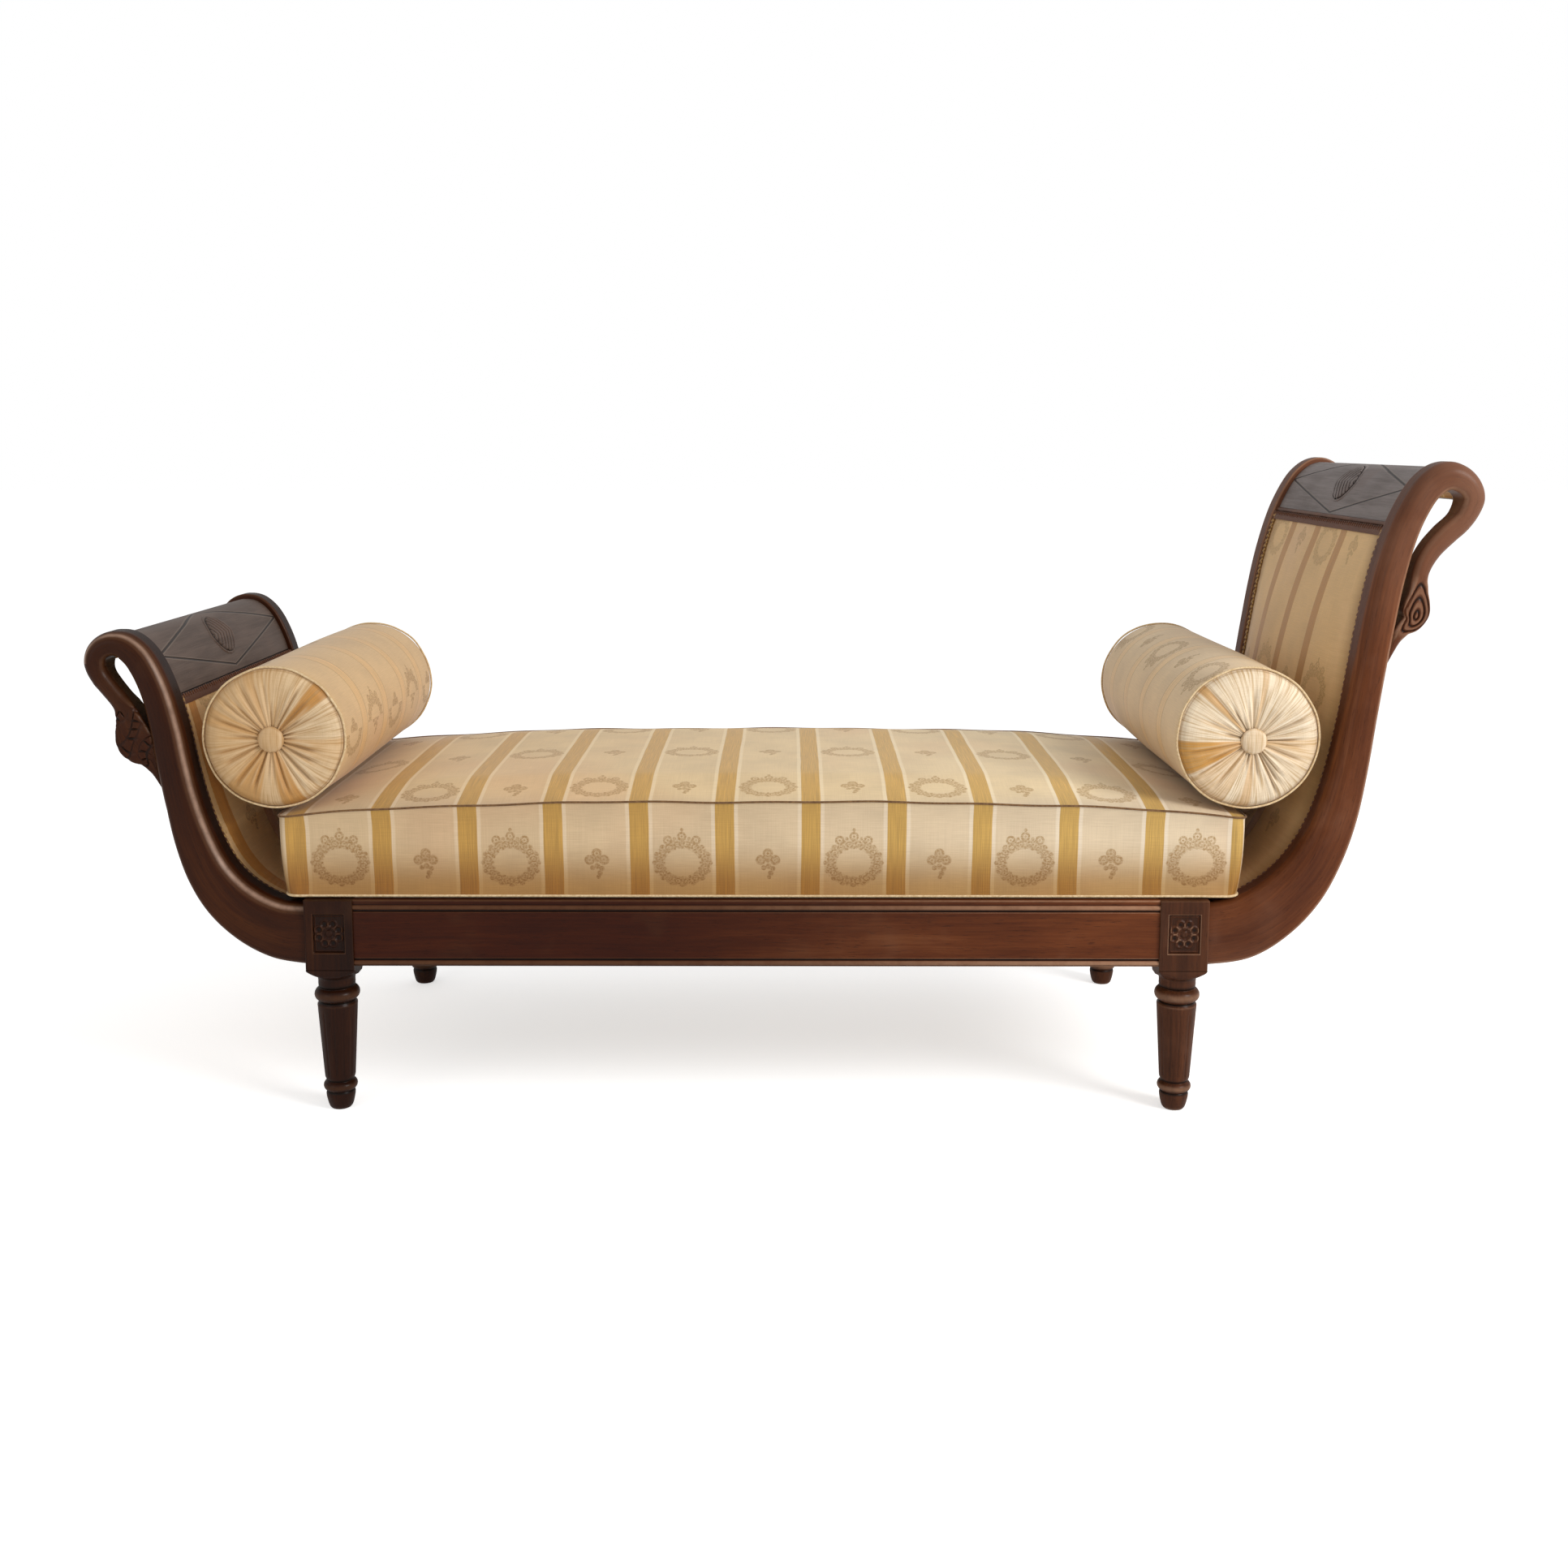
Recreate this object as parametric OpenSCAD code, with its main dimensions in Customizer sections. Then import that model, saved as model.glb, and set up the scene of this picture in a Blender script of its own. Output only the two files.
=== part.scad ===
// Swan-neck recamier: an open-backed couch with two out-curving ends.
// +X runs along the seat towards the tall head end, +Y to the rear, +Z up.

/* [Overall] */
// Distance between the leg centres along the seat
leg_span = 1230; // [1100:5:1350]
// Depth over the leg blocks, front to rear
depth = 640; // [560:5:720]
// Reach of the foot scroll past its leg centre
foot_reach = 331; // [290:1:370]
// Reach of the head scroll past its leg centre
head_reach = 397; // [350:1:440]
// Height of the foot scroll
foot_height = 709; // [640:1:780]
// Height of the head scroll
head_height = 945; // [880:1:1010]

/* [Seat frame] */
// Floor to the underside of the seat rails
rail_bottom = 224; // [200:1:250]
// Height of the seat rails
rail_height = 98; // [85:1:110]
// Thickness of the seat rails
rail_thick = 28; // [22:1:34]
// Setback of rails and stiles behind the leg blocks
rail_inset = 4; // [2:1:7]
// Radius of the rail beads
bead_radius = 3.5; // [2.5:0.5:5]
// Distance from the rail top to the upper bead centre
bead_drop = 11; // [8:1:14]
// Width of the sunk line beside each bead
quirk_width = 3; // [2:0.5:4]
// Depth of the sunk line beside each bead
quirk_depth = 2; // [1:0.5:3]
// Depth of the step that holds the deck
rebate_depth = 14; // [11:1:18]
// Width of the step that holds the deck
rebate_width = 14; // [10:1:16]
// Thickness of the end rails
end_rail_thick = 28; // [22:1:34]
// Width of a cross bearer
bearer_width = 45; // [35:1:60]
// Height of a cross bearer
bearer_height = 40; // [30:1:50]

/* [Legs] */
// Side of the square leg block
block = 70; // [62:1:78]
// Drop of the block below the rails
block_drop = 6; // [3:1:10]
// Height of the shaped step under the block
bevel_height = 14; // [10:1:18]
// Radius of the neck under the block
neck_radius = 30; // [26:0.5:34]
// Radius of the upper ring
ring_radius = 32.5; // [29:0.5:36]
// Height of the upper ring
ring_height = 20; // [14:1:26]
// Floor to the middle of the upper ring
ring_level = 175; // [160:1:190]
// Radius at the top of the shaft
shaft_top_radius = 28.5; // [25:0.5:31]
// Radius at the foot of the shaft
shaft_low_radius = 22; // [19:0.5:25]
// Radius of the lower ring
low_ring_radius = 24.5; // [22:0.5:27]
// Height of the lower ring
low_ring_height = 15; // [11:1:20]
// Floor to the middle of the lower ring
low_ring_level = 35; // [30:1:40]
// Radius of the leg where it meets the floor
toe_radius = 14.5; // [12:0.5:18]
// Number of flutes round the shaft
flutes = 12; // [8:1:16]
// Radius of a flute
flute_radius = 3.2; // [2:0.1:4]
// Width of the sunk panel on the block
panel_width = 46; // [40:1:52]
// Height of the sunk panel on the block
panel_height = 58; // [50:1:66]
// Depth of the sunk panel
panel_depth = 2.5; // [1.5:0.5:3.5]
// Radius of the carved rosette
rosette_radius = 20; // [16:0.5:22]
// Number of rosette petals
petals = 8; // [6:1:10]
// Radius of a rosette petal
petal_radius = 5.5; // [4:0.5:7]
// Radius of the rosette boss
boss_radius = 6; // [4:0.5:8]
// Diameter of a scroll dowel
dowel_diameter = 10; // [8:0.5:12]
// Length of a scroll dowel
dowel_length = 44; // [36:1:52]

/* [Scroll ends] */
// Thickness of stiles and swan necks, front to rear
stile_thick = 48; // [40:1:54]
// Setback of the crest face behind the stile edge
crest_recess = 8; // [5:0.5:11]
// Thickness of the crest board
crest_thick = 18; // [14:0.5:20]
// Radius of the bead along the foot of the crest
crest_bead_radius = 6; // [4:0.5:8]
// Half width of the carved oval on the crest
patera_half_width = 50; // [42:1:58]
// Half height of the carved oval on the crest
patera_half_height = 34; // [26:1:38]
// Rise of the carved oval above the crest face
patera_rise = 3; // [1.5:0.5:5]
// Setback of the end pad behind the stile edge
pad_recess = 5.5; // [4:0.5:8]
// Thickness of the end pad at its edges
pad_thick = 15; // [12:0.5:18]
// Crown of the end pad at its middle
pad_crown = 20; // [10:1:26]
// Thickness of the outside back panel
back_thick = 5; // [4:0.5:8]
// Setback of the outside back panel
back_recess = 3; // [2:0.5:5]
// Thickness of the end slats
slat_thick = 9; // [7:0.5:10]
// Width of the gimp braid
gimp_width = 11; // [8:0.5:14]
// Thickness of the gimp braid
gimp_thick = 2; // [1.5:0.5:3]

/* [Upholstery] */
// Gap between the cushion's lower edge and the inner face of the foot end
foot_end_gap = 30.5; // [20:0.5:45]
// Gap between the cushion's lower edge and the inner face of the head end
head_end_gap = 6; // [5:0.5:30]
// How far the cushion's sides stay back from the front and rear of the frame
cushion_setback = 18; // [14:1:30]
// Side height of the cushion at its ends
cushion_end_height = 119; // [100:1:135]
// Extra side height in the middle of its length
cushion_arch = 23; // [10:1:35]
// Crown of the cushion above its side height
cushion_crown = 19; // [10:1:30]
// Bulge of the cushion sides
cushion_bulge = 6; // [2:1:10]
// How far each end of the cushion draws in at the bottom
cushion_lean = 14; // [0:1:20]
// Corner radius of the cushion in plan
cushion_corner = 42; // [25:1:60]
// Radius of the cushion piping
piping_radius = 4; // [3:0.5:5]
// Thickness of the deck
deck_thick = 11; // [8:1:14]
// Width of the webbing straps
strap_width = 50; // [40:1:60]
// Thickness of the webbing straps
strap_thick = 2; // [1.5:0.5:3]
// Number of straps across the seat
cross_straps = 9; // [7:1:11]
// Number of straps along the seat
long_straps = 4; // [3:1:5]

/* [Bolsters] */
// Radius of the bolsters
bolster_radius = 103; // [90:1:115]
// How far each bolster end stays back from the cushion's side
bolster_setback = 16; // [10:1:40]
// Swell of a bolster end past its seam
bolster_swell = 15; // [8:1:22]
// Dip of a bolster end at its button
bolster_dip = 8; // [4:1:14]
// Radius of a bolster button
button_radius = 19; // [14:1:24]
// Gap between the foot bolster and the inner face of its scroll end
foot_bolster_gap = 18; // [14:0.5:50]
// Gap between the head bolster and the inner face of its scroll end
head_bolster_gap = 22; // [18:0.5:50]

/* [Fixings] */
// Leg length of a corner brace along each rail
brace_reach = 112; // [90:1:130]
// Height of a corner brace
brace_height = 42; // [30:1:55]
// Shank diameter of a brace screw
screw_diameter = 5; // [4:0.5:6]
// Head diameter of a brace screw
screw_head = 9.5; // [8:0.5:12]
// Length of a brace screw
screw_length = 34; // [28:1:40]
// Head height of a brace screw
screw_head_height = 3; // [2:0.5:4]

/* [Hidden] */
$fn = 64;
// Overrun of every cut
cut = 1;
// Fine clearance between neighbours
clear = 0.3;
// Clearance round a shank or dowel
slip = 0.15;
shift = (head_reach - foot_reach) / 2;
foot_x = -leg_span / 2 - shift;
head_x = leg_span / 2 - shift;
leg_y = depth / 2 - block / 2;
rail_top = rail_bottom + rail_height;
rail_face = depth / 2 - rail_inset;
rail_inner = rail_face - rail_thick;
rail_run = leg_span - block;
stile_inner = rail_face - stile_thick;
bed = rail_top - rebate_depth;
deck_top = bed + 2 * strap_thick + deck_thick;
seat_level = deck_top + clear;
end_rail_in = end_rail_thick / 6;
end_span = depth - 2 * block;
brace_level = rail_bottom + bearer_height / 4;
brace_screw_along = brace_reach * 0.68;
brace_screw_seat = brace_reach * 0.17;
half_sum = (shaft_top_radius + shaft_low_radius) / 2;
shaft_low = low_ring_level + low_ring_height;
shaft_high = ring_level - ring_height;
shaft_tilt = atan((shaft_top_radius - shaft_low_radius) / (shaft_high - shaft_low));

// Scroll centre lines as shares of reach and of rise above the rails, then widths as shares of rail height and of reach.
foot_stile_shares = [
  [0.221, 0.104, 0.857, 0], [0.335, 0.140, 0.796, 0], [0.441, 0.200, 0.724, 0],
  [0.520, 0.278, 0.643, 0], [0.576, 0.375, 0.571, 0], [0.616, 0.482, 0.500, 0],
  [0.644, 0.594, 0.439, 0], [0.668, 0.709, 0, 0.1178], [0.707, 0.823, 0, 0.1101],
  [0.761, 0.909, 0, 0.1072], [0.822, 0.953, 0, 0.1087], [0.879, 0.964, 0, 0.1042],
  [0.924, 0.955, 0, 0.0936], [0.953, 0.934, 0, 0.0847], [0.961, 0.907, 0, 0.0785]];
foot_neck_shares = [
  [0.949, 0.876, 0, 0.0696], [0.914, 0.841, 0, 0.0634], [0.873, 0.804, 0, 0.0634],
  [0.843, 0.775, 0, 0.0725], [0.825, 0.742, 0, 0.0968], [0.814, 0.709, 0, 0.1300],
  [0.801, 0.676, 0, 0.1480], [0.776, 0.647, 0, 0.1208], [0.749, 0.619, 0, 0.0725],
  [0.728, 0.581, 0, 0.0394], [0.707, 0.536, 0, 0.0121]];
head_stile_shares = [
  [0.214, 0.075, 0.918, 0], [0.327, 0.111, 0.847, 0], [0.423, 0.165, 0.755, 0],
  [0.496, 0.233, 0.643, 0], [0.547, 0.309, 0.561, 0], [0.584, 0.401, 0.490, 0],
  [0.612, 0.501, 0.444, 0], [0.635, 0.598, 0.423, 0], [0.660, 0.695, 0, 0.1007],
  [0.690, 0.785, 0, 0.0958], [0.733, 0.871, 0, 0.0906], [0.786, 0.933, 0, 0.0906],
  [0.834, 0.964, 0, 0.0945], [0.882, 0.974, 0, 0.0958], [0.924, 0.967, 0, 0.0869],
  [0.956, 0.950, 0, 0.0755], [0.966, 0.927, 0, 0.0681]];
head_neck_shares = [
  [0.940, 0.893, 0, 0.0592], [0.887, 0.863, 0, 0.0568], [0.841, 0.834, 0, 0.0541],
  [0.811, 0.804, 0, 0.0504], [0.798, 0.775, 0, 0.0479], [0.796, 0.752, 0, 0.0580],
  [0.793, 0.730, 0, 0.0780], [0.787, 0.710, 0, 0.0869], [0.773, 0.693, 0, 0.0681],
  [0.743, 0.678, 0, 0.0454], [0.720, 0.657, 0, 0.0378], [0.704, 0.634, 0, 0.0276],
  [0.690, 0.609, 0, 0.0126]];
root_share = 0.46;
root_width_share = 0.90;
root_ease_share = 0.30;
foot_crest_share = 0.784;
head_crest_share = 0.862;
patera_share = 0.19;
foot_slat_shares = [0.16, 0.34, 0.58];
head_slat_shares = [0.13, 0.31, 0.50, 0.68];

// Which piece to draw

// Curves
function blend4(a, b, c, d, t) = 0.5 * (2 * b + (c - a) * t + (2 * a - 5 * b + 4 * c - d) * t * t
  + (3 * b - a - 3 * c + d) * t * t * t);
function smooth(p, n) = [
  for (i = [0 : len(p) - 2])
    for (k = [0 : n - 1])
      blend4(p[max(i - 1, 0)], p[i], p[i + 1], p[min(i + 2, len(p) - 1)], k / n),
  p[len(p) - 1]];
function sized(shares, reach, height) = [
  for (s = shares) [s[0] * reach, rail_bottom + s[1] * (height - rail_bottom), s[2] * rail_height + s[3] * reach]];
function scroll_line(stile, neck, reach, height, n) = smooth(concat(
  [[block / 2, rail_bottom + root_share * rail_height, root_width_share * rail_height]],
  sized(stile, reach, height), sized(neck, reach, height)), n);
function heading(p, i) = let (a = p[max(i - 1, 0)], b = p[min(i + 1, len(p) - 1)], d = [b[0] - a[0], b[1] - a[1]])
  d / norm(d);
// Sections stand upright at the leg block and turn square to the line over a short way.
function normal(p, i) = let (
  h = heading(p, i),
  w = min(1, (p[i][0] - block / 2) / (root_ease_share * rail_height)),
  t = [1 - w + w * h[0], w * h[1]]) [-t[1], t[0]] / norm(t);
function inside(p, i, d) = [p[i][0], p[i][1]] + normal(p, i) * (p[i][2] / 2 - d);
function outside(p, i, d) = [p[i][0], p[i][1]] - normal(p, i) * (p[i][2] / 2 - d);
function above(p, z) = min([for (i = [0 : len(p) - 1]) if (p[i][1] >= z) i]);
// Distance out to the inner face of a scroll at level z
function face_at(p, z) = let (
  a = [for (i = [0 : len(p) - 1]) inside(p, i, 0)],
  k = min([for (i = [1 : len(a) - 1]) if (a[i][1] >= z) i]))
  a[k - 1][0] + (a[k][0] - a[k - 1][0]) * (z - a[k - 1][1]) / (a[k][1] - a[k - 1][1]);
function band(p, i, j, d, e) = concat(
  [for (k = [i : j]) inside(p, k, d)],
  [for (k = [j : -1 : i]) inside(p, k, e)]);
function strip(p, rows, d, e) = concat(
  [for (k = rows) inside(p, k, d)],
  [for (k = [len(rows) - 1 : -1 : 0]) inside(p, rows[k], e)]);
function full_band(p, i, j) = concat(
  [for (k = [i : j]) inside(p, k, 0)],
  [for (k = [j : -1 : i]) outside(p, k, 0)]);

coarse_steps = 4;
fine_steps = 8;
foot_line = scroll_line(foot_stile_shares, foot_neck_shares, foot_reach, foot_height, coarse_steps);
head_line = scroll_line(head_stile_shares, head_neck_shares, head_reach, head_height, coarse_steps);
foot_fine = scroll_line(foot_stile_shares, foot_neck_shares, foot_reach, foot_height, fine_steps);
head_fine = scroll_line(head_stile_shares, head_neck_shares, head_reach, head_height, fine_steps);
// Where the stile ends and the swan neck starts
foot_joint = coarse_steps * len(foot_stile_shares);
head_joint = coarse_steps * len(head_stile_shares);
foot_crest_low = above(foot_line, rail_bottom + foot_crest_share * (foot_height - rail_bottom));
head_crest_low = above(head_line, rail_bottom + head_crest_share * (head_height - rail_bottom));
// Rows of the end pads and gimp on the fine curves, ending just under the crest bead
function pad_rows(low) = concat([for (k = [2 : low - 1]) 2 * k], [2 * low - 1]);

// Places
module at_foot() {
  translate([foot_x, 0, 0]) mirror([1, 0, 0]) children();
}
module at_head() {
  translate([head_x, 0, 0]) children();
}
module slab(low, high) {
  translate([0, high, 0]) rotate([90, 0, 0]) linear_extrude(high - low) children();
}
module along_x(length) {
  rotate([90, 0, 90]) linear_extrude(length) children();
}

// Legs
module ring_shape(radius, height, level) {
  translate([0, 0, level]) rotate_extrude()
    intersection() {
      translate([radius - height / 2, 0]) circle(height / 2);
      translate([0, -height / 2]) square([radius, height]);
    }
}
module leg_turning() {
  rotate_extrude() polygon([
    [0, 0], [toe_radius, 0], [toe_radius + clear * 8, low_ring_height / 6],
    [low_ring_radius - low_ring_height / 5, low_ring_level - low_ring_height / 2],
    [low_ring_radius - low_ring_height / 4, low_ring_level + low_ring_height / 2],
    [shaft_low_radius - low_ring_height / 8, shaft_low - low_ring_height / 5],
    [shaft_low_radius, shaft_low],
    [shaft_top_radius, shaft_high],
    [neck_radius - ring_height / 5, ring_level - ring_height / 2],
    [neck_radius - ring_height / 6, ring_level + ring_height / 2],
    [neck_radius - ring_height / 8, rail_bottom - block_drop - bevel_height],
    [neck_radius, rail_bottom - block_drop - bevel_height],
    [neck_radius, rail_bottom - block_drop + cut], [0, rail_bottom - block_drop + cut]]);
  ring_shape(ring_radius, ring_height, ring_level);
  ring_shape(low_ring_radius, low_ring_height, low_ring_level);
}
module flute_cuts() {
  for (k = [0 : flutes - 1])
    rotate([0, 0, (k + 0.5) * 360 / flutes])
      translate([shaft_low_radius + flute_radius / 2, 0, shaft_low + flute_radius])
        rotate([0, shaft_tilt, 0]) {
          cylinder(h = shaft_high - shaft_low - 3 * flute_radius, r = flute_radius, $fn = 24);
          sphere(r = flute_radius, $fn = 24);
          translate([0, 0, shaft_high - shaft_low - 3 * flute_radius]) sphere(r = flute_radius, $fn = 24);
        }
}
module rosette() {
  cylinder(h = panel_depth, r = boss_radius);
  for (k = [0 : petals - 1])
    rotate([0, 0, k * 360 / petals])
      translate([rosette_radius - petal_radius, 0, 0]) cylinder(h = panel_depth * 0.7, r = petal_radius, $fn = 32);
  for (k = [0 : petals - 1])
    rotate([0, 0, (k + 0.5) * 360 / petals])
      translate([(rosette_radius + boss_radius) / 2 - petal_radius / 2, 0, 0])
        cylinder(h = panel_depth * 0.4, r = petal_radius / 2, $fn = 24);
}
module dowel_pair(radius, length) {
  for (s = [0.3, 0.72])
    translate([block / 2 - length / 2, stile_inner + stile_thick / 2, rail_bottom + s * rail_height])
      rotate([0, 90, 0]) cylinder(h = length, r = radius, $fn = 32);
}
module leg_square() {
  translate([-block / 2, -block / 2, rail_bottom - block_drop])
    cube([block, block, rail_height + block_drop]);
  intersection() {
    translate([-block / 2, -block / 2, rail_bottom - block_drop - bevel_height])
      cube([block, block, bevel_height + cut]);
    translate([0, 0, rail_bottom - block_drop - bevel_height])
      cylinder(h = bevel_height + cut, r1 = neck_radius, r2 = block * 0.72);
  }
}
// Drawn for the rear corner of the head end, with the block face to the rear.
module leg(carved) {
  difference() {
    union() {
      leg_turning();
      leg_square();
    }
    flute_cuts();
    translate([0, -leg_y, 0]) dowel_pair(dowel_diameter / 2 + slip, dowel_length + 2 * clear);
    translate([-panel_width / 2, block / 2 - panel_depth, rail_bottom + rail_height / 2 - panel_height / 2])
      cube([panel_width, panel_depth + cut, panel_height]);
  }
  if (carved)
    translate([0, block / 2 - panel_depth, rail_bottom + rail_height / 2]) rotate([-90, 0, 0]) rosette();
}
module leg_at(x, front, flip, carved) {
  translate([x, front ? -leg_y : leg_y, 0])
    mirror([0, front ? 1 : 0, 0]) mirror([flip ? 1 : 0, 0, 0]) leg(carved);
}
module leg_front_foot() { color("saddlebrown") leg_at(foot_x, true, true, true); }
module leg_front_head() { color("saddlebrown") leg_at(head_x, true, false, true); }
module leg_rear_foot() { color("saddlebrown") leg_at(foot_x, false, true, false); }
module leg_rear_head() { color("saddlebrown") leg_at(head_x, false, false, false); }

// Seat rails, drawn with the moulded face to the rear
module rail_section() {
  difference() {
    translate([rail_inner, rail_bottom]) square([rail_thick, rail_height]);
    translate([rail_inner - cut, bed]) square([rebate_width + cut, rebate_depth + cut]);
    for (z = [rail_top - bead_drop - bead_radius - quirk_width, rail_bottom + 2 * bead_radius + quirk_width])
      translate([rail_face - quirk_depth, z]) square([quirk_depth + cut, quirk_width]);
  }
  for (z = [rail_top - bead_drop, rail_bottom + bead_radius + quirk_width / 2])
    intersection() {
      translate([rail_face - bead_radius / 2, z]) circle(bead_radius, $fn = 32);
      translate([rail_face - bead_radius, z - bead_radius]) square([3 * bead_radius, 2 * bead_radius]);
    }
}
module brace_holes() {
  for (sx = [0, 1])
    for (sy = [0, 1])
      translate([sx ? head_x : foot_x, sy ? leg_y : -leg_y, 0])
        mirror([sx ? 1 : 0, 0, 0]) mirror([0, sy ? 1 : 0, 0]) brace_shanks(screw_diameter / 2 + slip, clear);
}
module seat_rail() {
  difference() {
    translate([foot_x + block / 2, 0, 0]) along_x(rail_run) rail_section();
    brace_holes();
  }
}
module seat_rail_rear() { color("sienna") seat_rail(); }
module seat_rail_front() { color("sienna") mirror([0, 1, 0]) seat_rail(); }
module end_rail() {
  difference() {
    translate([end_rail_in, -end_span / 2, rail_bottom]) cube([end_rail_thick, end_span, rail_height]);
    translate([end_rail_in - cut, -end_span / 2 - cut, bed])
      cube([rebate_width + cut, end_span + 2 * cut, rebate_depth + cut]);
  }
}
module end_rail_foot() {
  color("sienna") difference() {
    at_foot() end_rail();
    brace_holes();
  }
}
module end_rail_head() {
  color("sienna") difference() {
    at_head() end_rail();
    brace_holes();
  }
}
module bearer(share) {
  translate([foot_x + block / 2 + share * rail_run - bearer_width / 2, -rail_inner, bed - bearer_height])
    cube([bearer_width, 2 * rail_inner, bearer_height]);
}
module bearer_foot() { color("peru") bearer(0.25); }
module bearer_middle() { color("peru") bearer(0.5); }
module bearer_head() { color("peru") bearer(0.75); }

// Corner braces, drawn for the front corner of the foot end
module brace_shanks(radius, extra) {
  translate([brace_screw_along, brace_screw_seat, brace_level + brace_height / 2])
    rotate([90, 0, 0]) cylinder(h = screw_length + extra, r = radius, $fn = 24);
  translate([brace_screw_seat, brace_screw_along, brace_level + brace_height / 2])
    rotate([0, -90, 0]) cylinder(h = screw_length + extra, r = radius, $fn = 24);
}
module brace_pockets() {
  translate([brace_screw_along, brace_screw_seat, brace_level + brace_height / 2])
    rotate([-90, 0, 0]) cylinder(h = brace_reach, r = screw_head / 2 + slip, $fn = 32);
  translate([brace_screw_seat, brace_screw_along, brace_level + brace_height / 2])
    rotate([0, 90, 0]) cylinder(h = brace_reach, r = screw_head / 2 + slip, $fn = 32);
}
module brace() {
  low = leg_y - rail_inner;
  difference() {
    translate([0, 0, brace_level]) linear_extrude(brace_height)
      polygon([[block / 2, low], [brace_reach, low], [brace_reach, low + brace_reach / 8],
        [brace_reach / 8 - end_rail_in, brace_reach], [-end_rail_in, brace_reach],
        [-end_rail_in, block / 2], [block / 2, block / 2]]);
    brace_shanks(screw_diameter / 2 + slip, clear);
    brace_pockets();
  }
}
module brace_at(x, rear) {
  translate([x > 0 ? head_x : foot_x, rear ? leg_y : -leg_y, 0])
    mirror([x > 0 ? 1 : 0, 0, 0]) mirror([0, rear ? 1 : 0, 0]) brace();
}
module brace_front_foot() { color("burlywood") brace_at(-1, false); }
module brace_front_head() { color("burlywood") brace_at(1, false); }
module brace_rear_foot() { color("burlywood") brace_at(-1, true); }
module brace_rear_head() { color("burlywood") brace_at(1, true); }
module screw() {
  difference() {
    union() {
      cylinder(h = screw_length, r = screw_diameter / 2, $fn = 24);
      translate([0, 0, -screw_head_height]) cylinder(h = screw_head_height, r = screw_head / 2, $fn = 32);
    }
    translate([-screw_head / 2, -screw_diameter / 10, -screw_head_height - cut])
      cube([screw_head, screw_diameter / 5, cut + screw_head_height / 2]);
  }
}
module brace_screws() {
  color("silver")
    for (sx = [0, 1])
      for (sy = [0, 1])
        translate([sx ? head_x : foot_x, sy ? leg_y : -leg_y, brace_level + brace_height / 2])
          mirror([sx ? 1 : 0, 0, 0]) mirror([0, sy ? 1 : 0, 0]) {
            translate([brace_screw_along, brace_screw_seat, 0]) rotate([90, 0, 0]) screw();
            translate([brace_screw_seat, brace_screw_along, 0]) rotate([0, -90, 0]) screw();
          }
}
module scroll_dowels() {
  color("burlywood")
    for (s = [0, 1]) mirror([0, s, 0]) {
      at_foot() dowel_pair(dowel_diameter / 2, dowel_length);
      at_head() dowel_pair(dowel_diameter / 2, dowel_length);
    }
}

// Scroll ends
module stile(line, joint) {
  difference() {
    slab(stile_inner, rail_face) polygon(full_band(line, 0, joint));
    dowel_pair(dowel_diameter / 2 + slip, dowel_length + 2 * clear);
  }
}
module swan(line, joint) {
  slab(stile_inner, rail_face) difference() {
    polygon(full_band(line, joint, len(line) - 1));
    polygon(full_band(line, 0, joint));
  }
}
module stile_front_foot() { color("saddlebrown") mirror([0, 1, 0]) at_foot() stile(foot_line, foot_joint); }
module stile_rear_foot() { color("saddlebrown") at_foot() stile(foot_line, foot_joint); }
module stile_front_head() { color("saddlebrown") mirror([0, 1, 0]) at_head() stile(head_line, head_joint); }
module stile_rear_head() { color("saddlebrown") at_head() stile(head_line, head_joint); }
module swan_front_foot() { color("sienna") mirror([0, 1, 0]) at_foot() swan(foot_line, foot_joint); }
module swan_rear_foot() { color("sienna") at_foot() swan(foot_line, foot_joint); }
module swan_front_head() { color("sienna") mirror([0, 1, 0]) at_head() swan(head_line, head_joint); }
module swan_rear_head() { color("sienna") at_head() swan(head_line, head_joint); }
module crest(line, low, joint) {
  middle = low + round((joint - low) * patera_share);
  face = inside(line, middle, crest_recess);
  slope = heading(line, middle);
  arc = (pow(patera_half_width, 2) + pow(patera_half_height, 2)) / (2 * patera_half_height);
  slab(-stile_inner, stile_inner) {
    polygon(band(line, low, joint, crest_recess, crest_recess + crest_thick));
    translate(inside(line, low, crest_recess + crest_bead_radius / 2)) circle(crest_bead_radius, $fn = 32);
  }
  intersection() {
    slab(-patera_half_width, patera_half_width)
      polygon(band(line, low, joint, crest_recess - patera_rise, crest_recess + crest_thick / 2));
    translate([face[0], 0, face[1]]) rotate([0, -atan2(slope[1], slope[0]), 0])
      translate([0, 0, -crest_thick]) intersection() {
        translate([arc - patera_half_height, 0, 0]) cylinder(h = 2 * crest_thick, r = arc, $fn = 128);
        translate([patera_half_height - arc, 0, 0]) cylinder(h = 2 * crest_thick, r = arc, $fn = 128);
        cylinder(h = 2 * crest_thick, r = patera_half_width * 0.95);
      }
  }
}
module crest_foot() { color("dimgray") at_foot() crest(foot_line, foot_crest_low, foot_joint); }
module crest_head() { color("dimgray") at_head() crest(head_line, head_crest_low, head_joint); }
module end_slats(line, height, shares) {
  for (s = shares) {
    i = above(line, rail_bottom + s * (height - rail_bottom));
    slab(-stile_inner, stile_inner)
      polygon(band(line, i, i + 3, pad_recess + pad_thick + clear, pad_recess + pad_thick + clear + slat_thick));
  }
}
module end_slats_foot() { color("burlywood") at_foot() end_slats(foot_line, foot_height, foot_slat_shares); }
module end_slats_head() { color("burlywood") at_head() end_slats(head_line, head_height, head_slat_shares); }
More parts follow.
